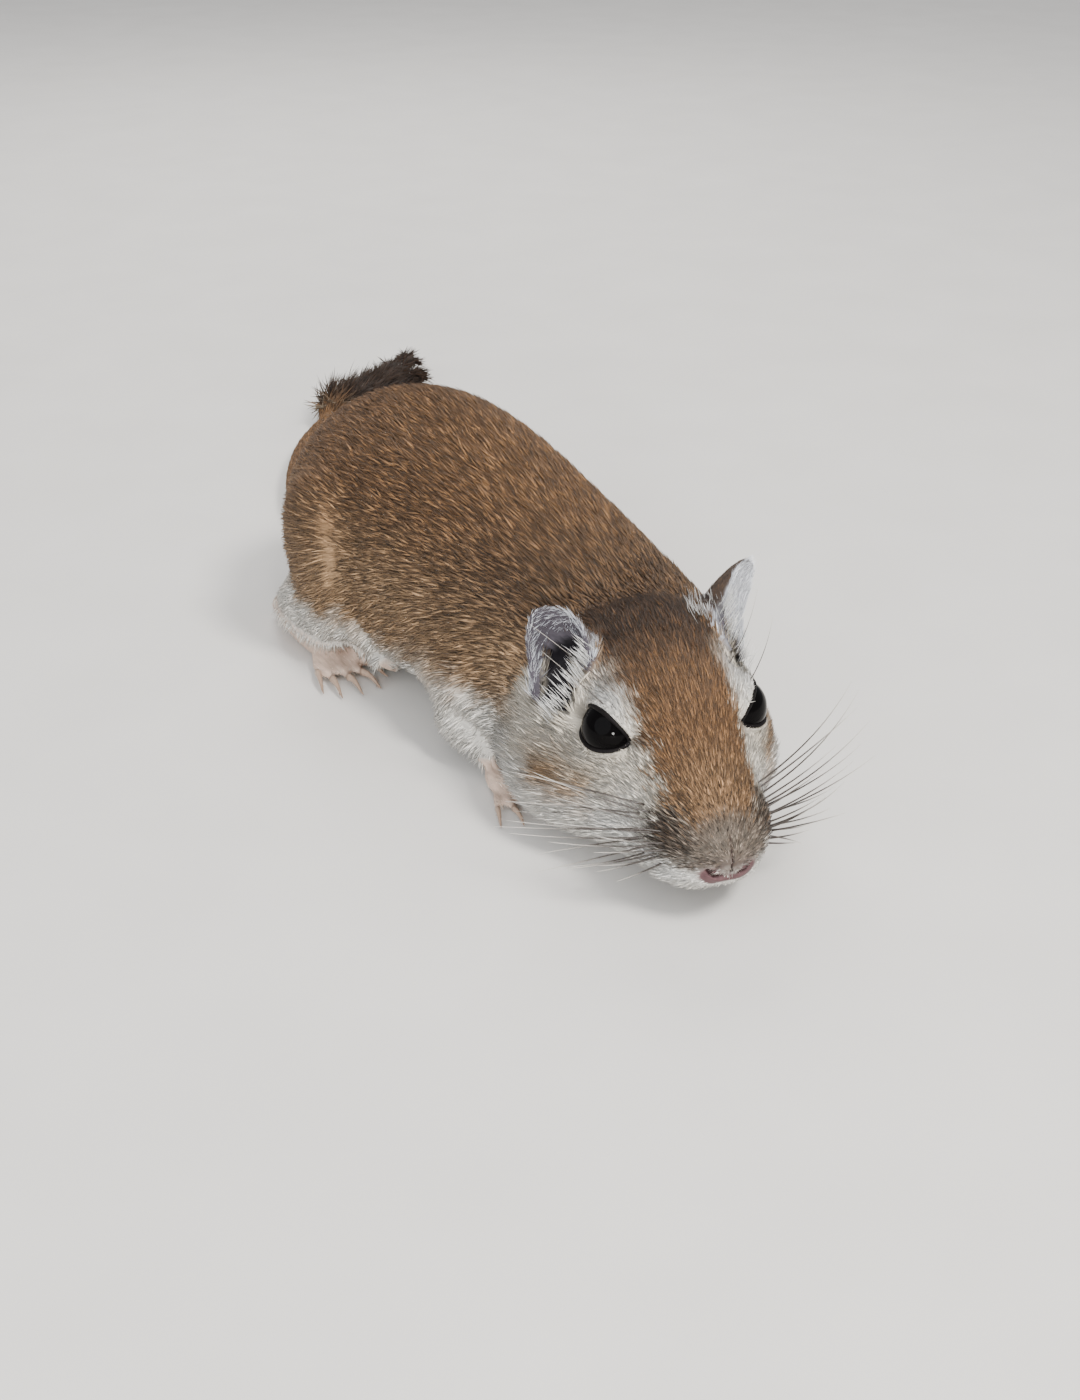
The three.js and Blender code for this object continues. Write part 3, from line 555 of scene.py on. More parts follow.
def make_skin():
    mesh = remeshed(grown_flesh(), VOXEL)
    points = points_of(mesh)
    head = to_head(points)
    near_eye = np.maximum(*[spot(head, EYE_CENTRE * [side, 1, 1] + unit(EYE_OUTWARD * [side, 1, 1]) * 3, 4.0) for side in (1, -1)])
    keep = np.maximum(near_eye, spot(head, (0, 0, 0), 4.0))
    for side in SIDES:
        for name in ("ear", "forefoot", "hind_foot"):
            keep = np.maximum(keep, 0.9 * in_box(points, f"{name}_{side}", 0.3))
    keep = np.maximum(keep, 0.7 * (points[:, 1] > 34))
    points = relaxed(points, edges_of(mesh), 1 - np.clip(keep, 0, 0.97), 36)
    mirrored = np.stack([np.abs(points[:, 0]), points[:, 1], points[:, 2]], axis=1)
    points = relaxed(points, edges_of(mesh), spot(mirrored, HAUNCH_EDGE["at"], HAUNCH_EDGE["reach"]), 130)
    mesh.vertices.foreach_set("co", points.astype(np.float32).ravel())
    mesh.update()

    def is_fine(centres):
        head = to_head(centres)
        nose = (np.linalg.norm(head - [0, 0.6, 0.0], axis=1) < 4.4) & (head[:, 2] < 4.4)
        eyes = np.zeros(len(centres), bool)
        for side in SIDES.values():
            far, turn, past = round_the_eye(head, side)
            eyes |= (far < 6.2) & (past > -14) & (past < 22)
        return nose | eyes

    mesh = refined(mesh, is_fine, 3)
    points, normals = points_of(mesh), normals_of(mesh)
    where = regions(points, normals)
    points = points - normals * (OVERLAP + coat_depth(where))[:, None]
    points = from_head(sculpt_face(to_head(points)))
    points[:, 2] = np.maximum(points[:, 2], 0.02)
    mesh.vertices.foreach_set("co", (points * MM).astype(np.float32).ravel())
    mesh.polygons.foreach_set("use_smooth", np.ones(len(mesh.polygons), bool))
    mesh.update()
    skin = bpy.data.objects.new("skin", mesh)
    bpy.context.scene.collection.objects.link(skin)
    return skin


skin = make_skin()


# The lie of the coat


def lie_of_coat(mesh, points, normals, where):
    """Which way the hairs point at every point of the skin, as unit vectors along its surface."""
    head = where["head"]
    count = len(points)
    height = points[:, 2]
    body = np.tile([0.0, 1.0, 0.0], (count, 1))
    body[:, 2] = -0.5 * ramp(height, 30, 14) * ramp(np.abs(normals[:, 0]), 0.2, 0.8)
    swept = unit(head - [0, -3.5, 1.5]) + [0, 0.35, 0]
    swept[:, 2] -= 0.25 * ramp(np.abs(head[:, 0]), 7, 13) * ramp(head[:, 1], 10, 24)
    face = turn_from_head(unit(swept))
    share = ramp(head[:, 1], 30, 48)
    lie = mixed(face, body, share)
    chest = ramp(height, 16, 8) * ramp(head[:, 1], 34, 42) * ramp(points[:, 1], -20, -32)
    lie = mixed(lie, unit([0, 0.8, -0.6]), 0.6 * chest)
    lie = mixed(lie, unit([0, 0.75, -0.65]), 0.8 * where["leg"] * (points[:, 1] > -2))
    lie = mixed(lie, unit([0, 0.45, -0.9]), 0.8 * where["leg"] * (points[:, 1] <= -2))
    lie = mixed(lie, [0, -1.0, -0.1], where["foot"])
    _, ahead = along_tail(points)
    lie = mixed(lie, ahead, where["tail"])
    for name in EARS:
        _, _, up, opening, _ = ear_axes(name)
        near = where["ear"] * in_box(points, f"ear_{name}", 0.5)
        lie = mixed(lie, turn_from_head(unit(up + 0.15 * opening)), near)
        if name == "right":
            lie = mixed(lie, turn_from_head(unit([0.77, 0.22, 0.59])), near * where["ear_inner"])
    edges = edges_of(mesh)
    links = np.maximum(np.bincount(edges.ravel(), minlength=count), 1)[:, None]
    for _ in range(30):
        total = np.stack(
            [
                np.bincount(edges[:, 0], lie[edges[:, 1], k], count)
                + np.bincount(edges[:, 1], lie[edges[:, 0], k], count)
                for k in range(3)
            ],
            axis=1,
        )
        lie = 0.4 * lie + 0.6 * total / links
        lie = unit(lie - normals * (lie * normals).sum(axis=1, keepdims=True))
    return lie


# The coat's tufts


def coat_of(where, points, normals):
    """Length, width, lift and number for each square millimetre, at every point of the skin."""
    head = where["head"]
    aside, back, level = np.abs(head[:, 0]), head[:, 1], head[:, 2]
    face = where["face"]
    length = 0.85 + 0.95 * ramp(back, 1, 9) + 1.0 * ramp(back, 8, 26)
    length += 0.7 * ramp(aside, 7, 12) * ramp(back, 12, 24) + 0.5 * ramp(level, 0, -5) * ramp(back, 3, 9)
    chin = ramp(level, -1.8, -3.2) * ramp(back, 0.6, 2.4)
    length += 0.9 * chin * ramp(back, 12, 6)
    bed = spot(np.stack([aside, back, level], axis=1), (5.6, 4.8, 2.2), (3.1, 3.4, 3.4))
    length += 0.7 * bed
    width = 0.19 + 0.03 * ramp(back, 1, 8) + 0.06 * ramp(back, 14, 30)
    number = 31 + 9 * ramp(back, 2, 9) - 8 * ramp(back, 16, 32)
    lift = 0.15 + 0.1 * chin + 0.16 * bed
    body = 1 - ramp(back, 44, 31)
    belly = ramp(points[:, 2], 9, 4)
    length = length + (3.4 - 0.6 * belly - length) * body
    width = width + (0.31 - width) * body
    number = number + (13.5 - 5.5 * belly - number) * body
    lift = lift + (0.17 - lift) * body
    lift = lift * (1 - 0.7 * body * ramp(-normals[:, 1], 0.1, 0.5))  # flat where hairs run up a swelling
    for region, values in {
        "leg": (2.3, 0.27, 12.0, 0.15),
        "tail": (1.6, 0.24, 12.0, 0.14),
        "foot": (0.8, 0.18, 9.0, 0.12),
        "ear": (0.8, 0.12, 17.0, 0.16),
    }.items():
        share = where[region]
        length, width, number, lift = (
            was + (now - was) * share for was, now in zip((length, width, number, lift), values)
        )
    inner = where["ear_inner"]
    length = length + (1.6 - length) * inner
    width = width + (np.where(head[:, 0] > 0, 0.09, 0.07) - width) * inner
    number = number + (np.where(head[:, 0] > 0, 30.0, 16.0) - number) * inner
    length = length + (6.2 - 3.4 * where["tuft_end"] - length) * where["tuft"]
    width = width + (0.2 - width) * where["tuft"]
    number = number + (12 - number) * where["tuft"]
    lift = lift + (0.2 - lift) * where["tuft"]
    bare = bare_nose(head)
    number = number * (1 - bare)
    for side in SIDES.values():
        far, _, past = round_the_eye(head, side)
        near = far < 6.0
        number = number * np.where(near, ramp(past, 5, 8), 1)
        length = length * np.where(near, 0.25 + 0.75 * ramp(past, 6, 34), 1)
    sole = ramp(points[:, 2], 0.5, 0.2) * where["foot"]
    number = number * (1 - sole) * (1 - ramp(where["hollow"], 0.1, 0.6))
    return {"length": length, "width": width, "lift": lift, "number": number, "face": face}


def bare_nose(head):
    """1 on the bare skin of the nose: its rim and the nostrils."""
    aside, back, level = np.abs(head[:, 0]), head[:, 1], head[:, 2]
    front = ramp(back, 3.6, 2.4)
    rim = ramp(line_gap(aside, level, NOSE_RIM), 1.05, 0.7)
    pit = ramp(line_gap(aside, level, NOSTRIL), 0.85, 0.5)
    return np.maximum(rim, pit) * front


def roots_on(mesh, values, draw):
    """Random points of the skin, as many as the numbers ask, with the values there."""
    mesh.calc_loop_triangles()
    corners = np.zeros(len(mesh.loop_triangles) * 3, np.int32)
    mesh.loop_triangles.foreach_get("vertices", corners)
    corners = corners.reshape(-1, 3)
    points = values["points"]
    a, b, c = (points[corners[:, k]] for k in range(3))
    area = 0.5 * np.linalg.norm(np.cross(b - a, c - a), axis=1)
    wanted = area * values["number"][corners].mean(axis=1)
    total = int(wanted.sum())
    # Evenly spaced steps along the running sum give each face its share without clusters
    running = np.cumsum(wanted)
    picks = np.searchsorted(running, (np.arange(total) + draw.random(total)) / total * running[-1])
    picks = np.minimum(picks, len(corners) - 1)
    u, v = draw.random(total), draw.random(total)
    over = u + v > 1
    u, v = np.where(over, 1 - u, u), np.where(over, 1 - v, v)
    shares = np.stack([1 - u - v, u, v], axis=1)
    at = {}
    for name, value in values.items():
        taken = value[corners[picks]]
        shape = shares if value.ndim == 1 else shares[..., None]
        at[name] = (taken * shape).sum(axis=1)
    return at


BLADE_STEPS = {"fine": [0.0, 1.0], "short": [0.0, 0.45, 1.0], "long": [0.0, 0.3, 0.65, 1.0]}
BLADE_WIDTHS = {"fine": [1.0], "short": [0.75, 1.0], "long": [0.7, 1.0, 0.75]}
PATCH = 0.003
SINK = 0.12
FINE_WIDTH = 0.75  # a fine hair beside a tuft
PER_PIECE = {"fine": 48000, "short": 19000, "long": 12000}
FINE_SHARE = 0.72
MINGLE = 0.45  # how far from its root a hair may take its colour


def blades(at, steps, widths, draw, stray):
    """Closed tapered blades of three sides: vertices, triangles, share along each, and each vertex's place across.
    """
    count = len(at["points"])
    normal = unit(at["normals"])
    ahead = unit(at["lie"] - normal * (at["lie"] * normal).sum(axis=1, keepdims=True))
    turn = draw.normal(0, stray, count) + at["swirl"]
    across = np.cross(normal, ahead)
    ahead = ahead * np.cos(turn)[:, None] + across * np.sin(turn)[:, None]
    across = np.cross(normal, ahead)
    length = at["length"] * draw.uniform(0.75, 1.2, count)
    width = at["width"] * draw.uniform(0.75, 1.25, count)
    lift = at["lift"] * draw.uniform(0.5, 1.5, count)
    bow = draw.normal(0, 0.06, count)
    rings = []
    for step, share in zip(steps[:-1], widths):
        rise = lift * (1.7 * step - 0.7 * step**2)
        middle = (
            at["points"]
            + ahead * (length * step)[:, None]
            + normal * (length * rise - SINK)[:, None]
            + across * (length * bow * step**2)[:, None]
        )
        half = (width * share / 2)[:, None]
        rings += [middle - across * half, middle + across * half, middle + normal * half * 0.8]
    rise = lift * (1.7 - 0.7)
    tip = at["points"] + ahead * length[:, None] + normal * (length * rise - SINK)[:, None]
    tip += across * (length * bow)[:, None]
    verts = np.stack(rings + [tip], axis=1)
    last = len(rings)
    triangles = [(0, 1, 2)]
    for ring in range(0, last - 3, 3):
        for side in range(3):
            a, b = ring + side, ring + (side + 1) % 3
            triangles += [(a, a + 3, b), (b, a + 3, b + 3)]
    for side in range(3):
        a, b = last - 3 + side, last - 3 + (side + 1) % 3
        triangles.append((a, last, b))
    triangles = np.array(triangles)
    shares = np.array([step for step in steps[:-1] for _ in range(3)] + [1.0])
    sideways = np.array([-0.5, 0.5, 0.0] * (len(steps) - 1) + [0.0])
    return verts, triangles, shares, sideways


def coat_piece(name, at, kind, draw, stray, unwrapped, material):
    steps, widths = BLADE_STEPS[kind], BLADE_WIDTHS[kind]
    if kind == "fine":
        at["width"] = at["width"] * FINE_WIDTH
    verts, triangles, shares, sideways = blades(at, steps, widths, draw, stray)
    count, per_blade = verts.shape[:2]
    verts[..., 2] = np.maximum(verts[..., 2], 0.04)
    faces = (triangles[None] + (np.arange(count) * per_blade)[:, None, None]).reshape(-1, 3)
    piece = triangle_object(name, verts.reshape(-1, 3), faces)
    # Painted shade: each blade's colour runs darker towards its root and a little lighter at its tip, standing in
    # for the shade deep in the fur
    painted_root_shade = (0.5 + 0.6 * shares)[None, :, None]
    tint = at["colour"][:, None, :] * painted_root_shade
    dark = at["dark_tip"][:, None, None] * ramp(shares, 0.45, 0.95)[None, :, None]
    tint = tint * (1 - 0.6 * dark)
    pale = at["pale_tip"][:, None, None] * ramp(shares, 0.5, 1.0)[None, :, None]
    tint = tint + (0.8 - tint) * 0.35 * pale
    paint(piece.data, "Tint", np.clip(tint, 0, 1).reshape(-1, 3))
    corner_uv = unwrapped[:, None, :] * (1 - 2 * PATCH) + PATCH
    corner_uv = corner_uv + np.stack([sideways * PATCH, (shares - 0.5) * PATCH], axis=1)[None]
    layer = piece.data.uv_layers.new(name="OFBake")
    loops = corner_uv.reshape(-1, 2)[faces.ravel()]
    layer.data.foreach_set("uv", loops.astype(np.float32).ravel())
    piece.data.materials.append(material)
    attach(piece, "root")
    return piece


def round_unwrap(points, centre, along, low, high):
    """Places wound round an axis: the angle across, and the distance along it up."""
    along = unit(np.asarray(along, float))
    beside = unit(np.cross(along, [0, 0, 1]))
    over = np.cross(beside, along)
    offset = points - centre
    angle = np.arctan2(offset @ beside, offset @ over) / (2 * math.pi) + 0.5
    return np.clip(np.stack([angle, (offset @ along - low) / (high - low)], axis=1), 0, 1)


# Materials


def nodes_of(material):
    material.use_nodes = True
    tree = material.node_tree
    return tree, tree.nodes["Principled BSDF"]


def link(tree, a, b):
    tree.links.new(a, b)


def noise(tree, scale, detail=3.0, stretch=None, turned=0.0):
    """A noise texture in the object's own millimetres, drawn out along one way if asked."""
    place = tree.nodes.new("ShaderNodeTexCoord")
    mapping = tree.nodes.new("ShaderNodeMapping")
    mapping.inputs["Rotation"].default_value = (0, 0, turned)
    mapping.inputs["Scale"].default_value = tuple(1 / MM * k for k in (stretch or (1, 1, 1)))
    texture = tree.nodes.new("ShaderNodeTexNoise")
    texture.inputs["Scale"].default_value = scale
    texture.inputs["Detail"].default_value = detail
    link(tree, place.outputs["Object"], mapping.inputs["Vector"])
    link(tree, mapping.outputs["Vector"], texture.inputs["Vector"])
    return texture.outputs["Fac"]


def spread(tree, value, low, high):
    """The value from 0 to 1 brought to a range."""
    node = tree.nodes.new("ShaderNodeMapRange")
    node.inputs["To Min"].default_value = low
    node.inputs["To Max"].default_value = high
    link(tree, value, node.inputs["Value"])
    return node.outputs["Result"]


def shaded(tree, colour, amount):
    """The colour times a factor that varies over the surface."""
    node = tree.nodes.new("ShaderNodeVectorMath")
    node.operation = "SCALE"
    link(tree, colour, node.inputs[0])
    link(tree, amount, node.inputs["Scale"])
    return node.outputs["Vector"]


def bumped(tree, principled, height, strength, distance):
    bump = tree.nodes.new("ShaderNodeBump")
    bump.inputs["Strength"].default_value = strength
    bump.inputs["Distance"].default_value = distance * MM
    link(tree, height, bump.inputs["Height"])
    link(tree, bump.outputs["Normal"], principled.inputs["Normal"])


def tint_of(tree):
    node = tree.nodes.new("ShaderNodeAttribute")
    node.attribute_name = "Tint"
    return node.outputs["Color"]


def coat_material(name, roughness=0.7, sheen=0.03):
    material = bpy.data.materials.new(name)
    tree, principled = nodes_of(material)
    fine = noise(tree, 1.6, 4.0)
    link(tree, shaded(tree, tint_of(tree), spread(tree, fine, 0.86, 1.14)), principled.inputs["Base Color"])
    link(tree, spread(tree, fine, roughness - 0.1, roughness + 0.1), principled.inputs["Roughness"])
    principled.inputs["Sheen Weight"].default_value = sheen
    principled.inputs["Sheen Roughness"].default_value = 0.45
    principled.inputs["Specular IOR Level"].default_value = 0.14
    return material


def skin_material():
    """The short fur that lies flat: fine streaks along the body, over the same markings as the tufts."""
    material = bpy.data.materials.new("skin")
    tree, principled = nodes_of(material)
    streaks = noise(tree, 2.2, 3.0, stretch=(1, 0.25, 1), turned=-HEAD_YAW)
    mottled = noise(tree, 0.5, 4.0)
    tinted = shaded(tree, tint_of(tree), spread(tree, streaks, 0.5, 1.4))
    link(tree, shaded(tree, tinted, spread(tree, mottled, 0.85, 1.15)), principled.inputs["Base Color"])
    link(tree, spread(tree, streaks, 0.5, 0.75), principled.inputs["Roughness"])
    bumped(tree, principled, streaks, 0.6, 0.12)
    principled.inputs["Specular IOR Level"].default_value = 0.12
    return material


def eye_material():
    material = bpy.data.materials.new("eye")
    tree, principled = nodes_of(material)
    depth = noise(tree, 0.35, 2.0)
    ramp_node = tree.nodes.new("ShaderNodeValToRGB")
    ramp_node.color_ramp.elements[0].color = (0.0008, 0.0008, 0.001, 1)
    ramp_node.color_ramp.elements[1].color = (0.003, 0.0024, 0.0024, 1)
    link(tree, depth, ramp_node.inputs["Fac"])
    link(tree, ramp_node.outputs["Color"], principled.inputs["Base Color"])
    link(tree, spread(tree, noise(tree, 3.0), 0.02, 0.07), principled.inputs["Roughness"])
    principled.inputs["Specular IOR Level"].default_value = 0.05
    return material


def horn_material(name, root, tip, roughness, pale_from=0.0):
    """Claws and whiskers: the colour runs from root to tip by the painted share."""
    material = bpy.data.materials.new(name)
    tree, principled = nodes_of(material)
    node = tree.nodes.new("ShaderNodeAttribute")
    node.attribute_name = "Along"
    ramp_node = tree.nodes.new("ShaderNodeValToRGB")
    ramp_node.color_ramp.elements[0].color = (*root, 1)
    ramp_node.color_ramp.elements[0].position = pale_from
    ramp_node.color_ramp.elements[1].color = (*tip, 1)
    link(tree, node.outputs["Fac"], ramp_node.inputs["Fac"])
    uneven = noise(tree, 1.4, 4.0)
    link(tree, shaded(tree, ramp_node.outputs["Color"], spread(tree, uneven, 0.8, 1.2)), principled.inputs["Base Color"])
    link(tree, spread(tree, uneven, roughness - 0.08, roughness + 0.08), principled.inputs["Roughness"])
    bumped(tree, principled, noise(tree, 4.0, 2.0, stretch=(1, 0.2, 1)), 0.25, 0.05)
    return material


def lid_material():
    material = bpy.data.materials.new("lid")
    tree, principled = nodes_of(material)
    grain = noise(tree, 3.5, 3.0)
    ramp_node = tree.nodes.new("ShaderNodeValToRGB")
    ramp_node.color_ramp.elements[0].color = (0.002, 0.0018, 0.0018, 1)
    ramp_node.color_ramp.elements[1].color = (0.009, 0.007, 0.007, 1)
    link(tree, grain, ramp_node.inputs["Fac"])
    link(tree, ramp_node.outputs["Color"], principled.inputs["Base Color"])
    link(tree, spread(tree, grain, 0.4, 0.6), principled.inputs["Roughness"])
    principled.inputs["Specular IOR Level"].default_value = 0.08
    bumped(tree, principled, grain, 0.4, 0.04)
    return material


# Dress the skin


def dressed_skin():
    mesh = skin.data
    points, normals = points_of(mesh) / MM, normals_of(mesh)
    where = regions(points, normals)
    colours = markings(points, normals, where)
    head = where["head"]
    aside, back, level = np.abs(head[:, 0]), head[:, 1], head[:, 2]
    front = ramp(back, 3.6, 2.4)
    thick = 0.95 + 0.45 * ramp(aside, 0.4, 2.0)
    rim = ramp(line_gap(aside, level, NOSE_RIM), thick + 0.35, thick - 0.4) * front
    pit = 0.9 * ramp(line_gap(aside, level, NOSTRIL), 0.3, 0.12) * front
    cleft = np.exp(-((head[:, 0] / 0.14) ** 2)) * ramp(level, 4.3, 3.5) * ramp(level, -0.9, -0.2) * front
    # Painted shade: the skin between the tufts is painted at 0.62 of the markings' colour, as the shade among the
    # hair roots; bare feet and ears keep their colour
    shown = mixed(0.62 * colours, colours, np.maximum(where["foot"], where["ear"]))
    shown = mixed(shown, EAR_SKIN * 1.4, where["ear_inner"])
    shown = mixed(shown, EAR_PALE * 0.5, 0.8 * where["ear_inner"] * (head[:, 0] > 0) * (1 - where["hollow"]))
    shown = mixed(shown, FOOT_SKIN, 0.5 * where["foot"])
    shown = mixed(shown, NOSE_PINK, rim)
    # Painted shade: the nostrils and the cleft below the nose are painted near black, as the shade inside these
    # hollows
    shown = mixed(shown, PAINTED_PIT_SHADE, np.maximum(pit, 0.95 * cleft))
    for side in SIDES.values():
        far, _, past = round_the_eye(head, side)
        shown = mixed(shown, [0.015, 0.012, 0.012], (far < 6) * ramp(past, 8, 4))
    paint(mesh, "Tint", np.clip(shown, 0, 1))
    mesh.materials.append(skin_material())
    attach(skin, "root")
    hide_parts(*FLESH)
    lie = lie_of_coat(mesh, points, normals, where)
    coat = coat_of(where, points, normals)
    values = {
        "points": points,
        "normals": normals,
        "lie": lie,
        "length": coat["length"],
        "width": coat["width"],
        "lift": coat["lift"],
        "number": coat["number"],
    }
    return values


FRINGE = {"number": 125, "shares": (0.0, 0.62), "length": (2.1, 3.0), "way": (0.58, 0.6, 0.54)}
ROOT_TUFT = {"number": {"left": 150, "right": 0}, "at": (8.0, 31.0, 12.8), "spread": 1.1, "length": (1.6, 2.6), "way": (-0.2, 0.45, 0.85)}


def ear_hairs(draw, tree):
    """The long pale hairs over each ear's cup and the tuft at its inner root."""
    roots, ways, lengths, widths, shades = [], [], [], [], []
    for name, side in SIDES.items():
        for _ in range(FRINGE["number"]):
            share = draw.uniform(*FRINGE["shares"])
            roots.append(ear_rim(name, share) + draw.normal(0, 0.3, 3))
            ways.append(unit(np.array(FRINGE["way"]) * [side, 1, 1] + draw.normal(0, 0.1, 3)))
            lengths.append(draw.uniform(*FRINGE["length"]))
            widths.append(0.085)
            shades.append(draw.uniform(0.7, 1.05))
        for _ in range(ROOT_TUFT["number"][name]):
            guess = np.array(ROOT_TUFT["at"]) * [side, 1, 1] + draw.normal(0, ROOT_TUFT["spread"], 3)
            found = tree.find_nearest(Vector(from_head(guess) * MM))
            roots.append(to_head(np.array(found[0]) / MM))
            ways.append(unit(np.array(ROOT_TUFT["way"]) * [side, 1, 1] + draw.normal(0, 0.14, 3)))
            lengths.append(draw.uniform(*ROOT_TUFT["length"]))
            widths.append(0.055)
            shades.append(draw.uniform(0.4, 0.8))
    count = len(roots)
    ways = turn_from_head(np.array(ways))
    normals = unit(np.cross(ways, np.tile([0.2, 0.3, 1.0], (count, 1))))
    return {
        "points": from_head(np.array(roots)),
        "normals": normals,
        "lie": ways,
        "length": np.array(lengths),
        "width": np.array(widths),
        "lift": np.full(count, 0.06),
        "swirl": np.zeros(count),
        "colour": WHITE * np.array(shades)[:, None],
        "dark_tip": np.zeros(count),
        "pale_tip": np.ones(count),
    }


def dress():
    draw = np.random.default_rng(SEED)
    values = dressed_skin()
    at = roots_on(skin.data, values, draw)
    at["normals"] = unit(at["normals"])
    where = regions(at["points"], at["normals"])
    count = len(at["points"])
    head = where["head"]
    nearby = regions(at["points"] + draw.normal(0, MINGLE, (count, 3)), at["normals"])
    nearby = {key: nearby[key] if key == "head" else where[key] for key in where}
    colour = markings(at["points"], at["normals"], nearby)
    streaks = 0.16 * waves(at["points"] * [1, 0.4, 1], 0.6, 2.0) + 0.08 * waves(at["points"], 2.0, 5.0)
    muzzle = ramp(head[:, 1], 8, 5) * ramp(head[:, 2], -2.5, 0.5)
    vary = (1 + draw.normal(0, 1, count) * (0.22 + 0.36 * muzzle)).clip(0.3, 2.1) * (1 + streaks)
    brown = (colour[:, 0] - colour[:, 2]) / np.maximum(colour[:, 0], 1e-3)
    agouti = ramp(brown, 0.35, 0.6)
    darker = (draw.random(count) < 0.35 * agouti) * draw.uniform(0.3, 0.6, count)
    lighter = (draw.random(count) < 0.4) * ramp(colour.mean(axis=1), 0.12, 0.04) * draw.uniform(0.3, 1, count)
    colour = mixed(colour, GINGER * 0.8, 0.6 * lighter * (1 - where["tuft"]))
    at["colour"] = colour * (vary * (1 - darker))[:, None]
    at["dark_tip"] = (draw.random(count) < 0.25 * agouti) * draw.uniform(0.5, 1, count)
    at["pale_tip"] = ramp(colour.mean(axis=1), 0.3, 0.6) * draw.uniform(0.2, 1, count)
    at["swirl"] = 0.14 * waves(at["points"], 2.4, 7.0)
    group = np.full(count, 1)
    group[head[:, 1] < 37] = 0
    group[(group == 1) & (at["points"][:, 2] < 8.5)] = 2
    group[where["leg"] > 0.5] = 3
    group[where["foot"] > 0.5] = 4
    group[where["tail"] > 0.5] = 5
    group[where["ear"] > 0.5] = 6
    group[where["tuft"] > 0.4] = 7
    middle = NOSE_TIP + turn_from_head([0, 18, 2])
    wound = {
        0: round_unwrap(at["points"], middle, turn_from_head([0, 1, 0]), -19, 21),
        1: round_unwrap(at["points"], np.array([0, 0, 14.0]), [0, 1, 0], -42, 36),
        2: round_unwrap(at["points"], np.array([0, 0, 14.0]), [0, 1, 0], -60, 36),
        3: at["points"][:, 1:] / [62, 30] + [0.6, 0],
        4: at["points"][:, :2] / [46, 80] + [0.5, 0.6],
        5: round_unwrap(at["points"], np.array([0, 30, 3.0]), [0, 1, 0], 0, 70),
        6: at["points"][:, 1:] / [30, 30] + [2, -0.4],
        7: at["points"][:, :2] / [60, 60] + [0.0, -1.0],
    }
    names = {
        0: ("coat_head", "coat_face", 0.1),
        1: ("coat_back", "coat_back", 0.13),
        2: ("coat_belly", "coat_pale", 0.13),
        3: ("coat_legs", "coat_pale", 0.13),
        4: ("coat_feet", "foot_skin", 0.12),
        5: ("coat_tail", "coat_back", 0.1),
        6: ("coat_ears", "ear_skin", 0.14),
        7: ("coat_tail_tuft", "tail_tuft", 0.2),
    }
    materials = {slot: coat_material(f"fur_{slot}") for slot in sorted({names[k][1] for k in names})}
    is_fine = draw.random(count) < FINE_SHARE
    for number, (name, slot, stray) in names.items():
        unwrapped = np.clip(wound[number], 0, 1)
        kinds = {"long": group == 7} if number == 7 else {"fine": is_fine, "short": ~is_fine}
        for kind, chosen in kinds.items():
            members = np.flatnonzero((group == number) & chosen)
            draw.shuffle(members)
            parts = max(1, math.ceil(len(members) / PER_PIECE[kind]))
            for i, part in enumerate(np.array_split(members, parts)):
                taken = {key: value[part] for key, value in at.items()}
                label = f"{name}_{kind}_{i + 1}"
                coat_piece(label, taken, kind, draw, stray, unwrapped[part], materials[slot])
                print(label, len(part))
    hairs = ear_hairs(draw, tree_of(skin))
    unwrapped = np.clip(hairs["points"][:, 1:] / [30, 30] + [2, -0.4], 0, 1)
    coat_piece("coat_ear_fringe", hairs, "long", draw, 0.06, unwrapped, materials["ear_skin"])


dress()


# Eyes, lids, claws and whiskers


def tube(points, radii, sides):
    """Vertices and faces of a round tube along points, closed at both ends, with the share along it."""
    points = np.asarray(points, float)
    ahead = unit(np.gradient(points, axis=0))
    helper = np.array([0.0, 0.0, 1.0]) if abs(ahead[0][2]) < 0.9 else np.array([1.0, 0.0, 0.0])
    verts = []
    for place, along, radius in zip(points, ahead, radii):
        a = unit(np.cross(along, helper))
        b = np.cross(along, a)
        radius = np.broadcast_to(radius, 2)
        for k in range(sides):
            angle = 2 * math.pi * k / sides
            verts.append(place + a * math.cos(angle) * radius[0] + b * math.sin(angle) * radius[1])
    rings = len(points)
    faces = []
    for ring in range(rings - 1):
        for k in range(sides):
            low, nxt = ring * sides + k, ring * sides + (k + 1) % sides
            faces.append((low, nxt, nxt + sides, low + sides))
    faces.append(tuple(range(sides))[::-1])
    faces.append(tuple(range((rings - 1) * sides, rings * sides)))
    along = np.repeat(np.linspace(0, 1, rings), sides)
    return verts, faces, along


def joined_tubes(name, tubes, material):
    verts, faces, along = [], [], []
    for made_verts, made_faces, made_along in tubes:
        start = len(verts)
        verts += list(made_verts)
        faces += [tuple(start + i for i in face) for face in made_faces]
        along += list(made_along)
    piece = new_object(name, verts, faces)
    paint(piece.data, "Along", np.repeat(np.array(along)[:, None], 3, axis=1))
    piece.data.materials.append(material)
    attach(piece, "root")
    return piece


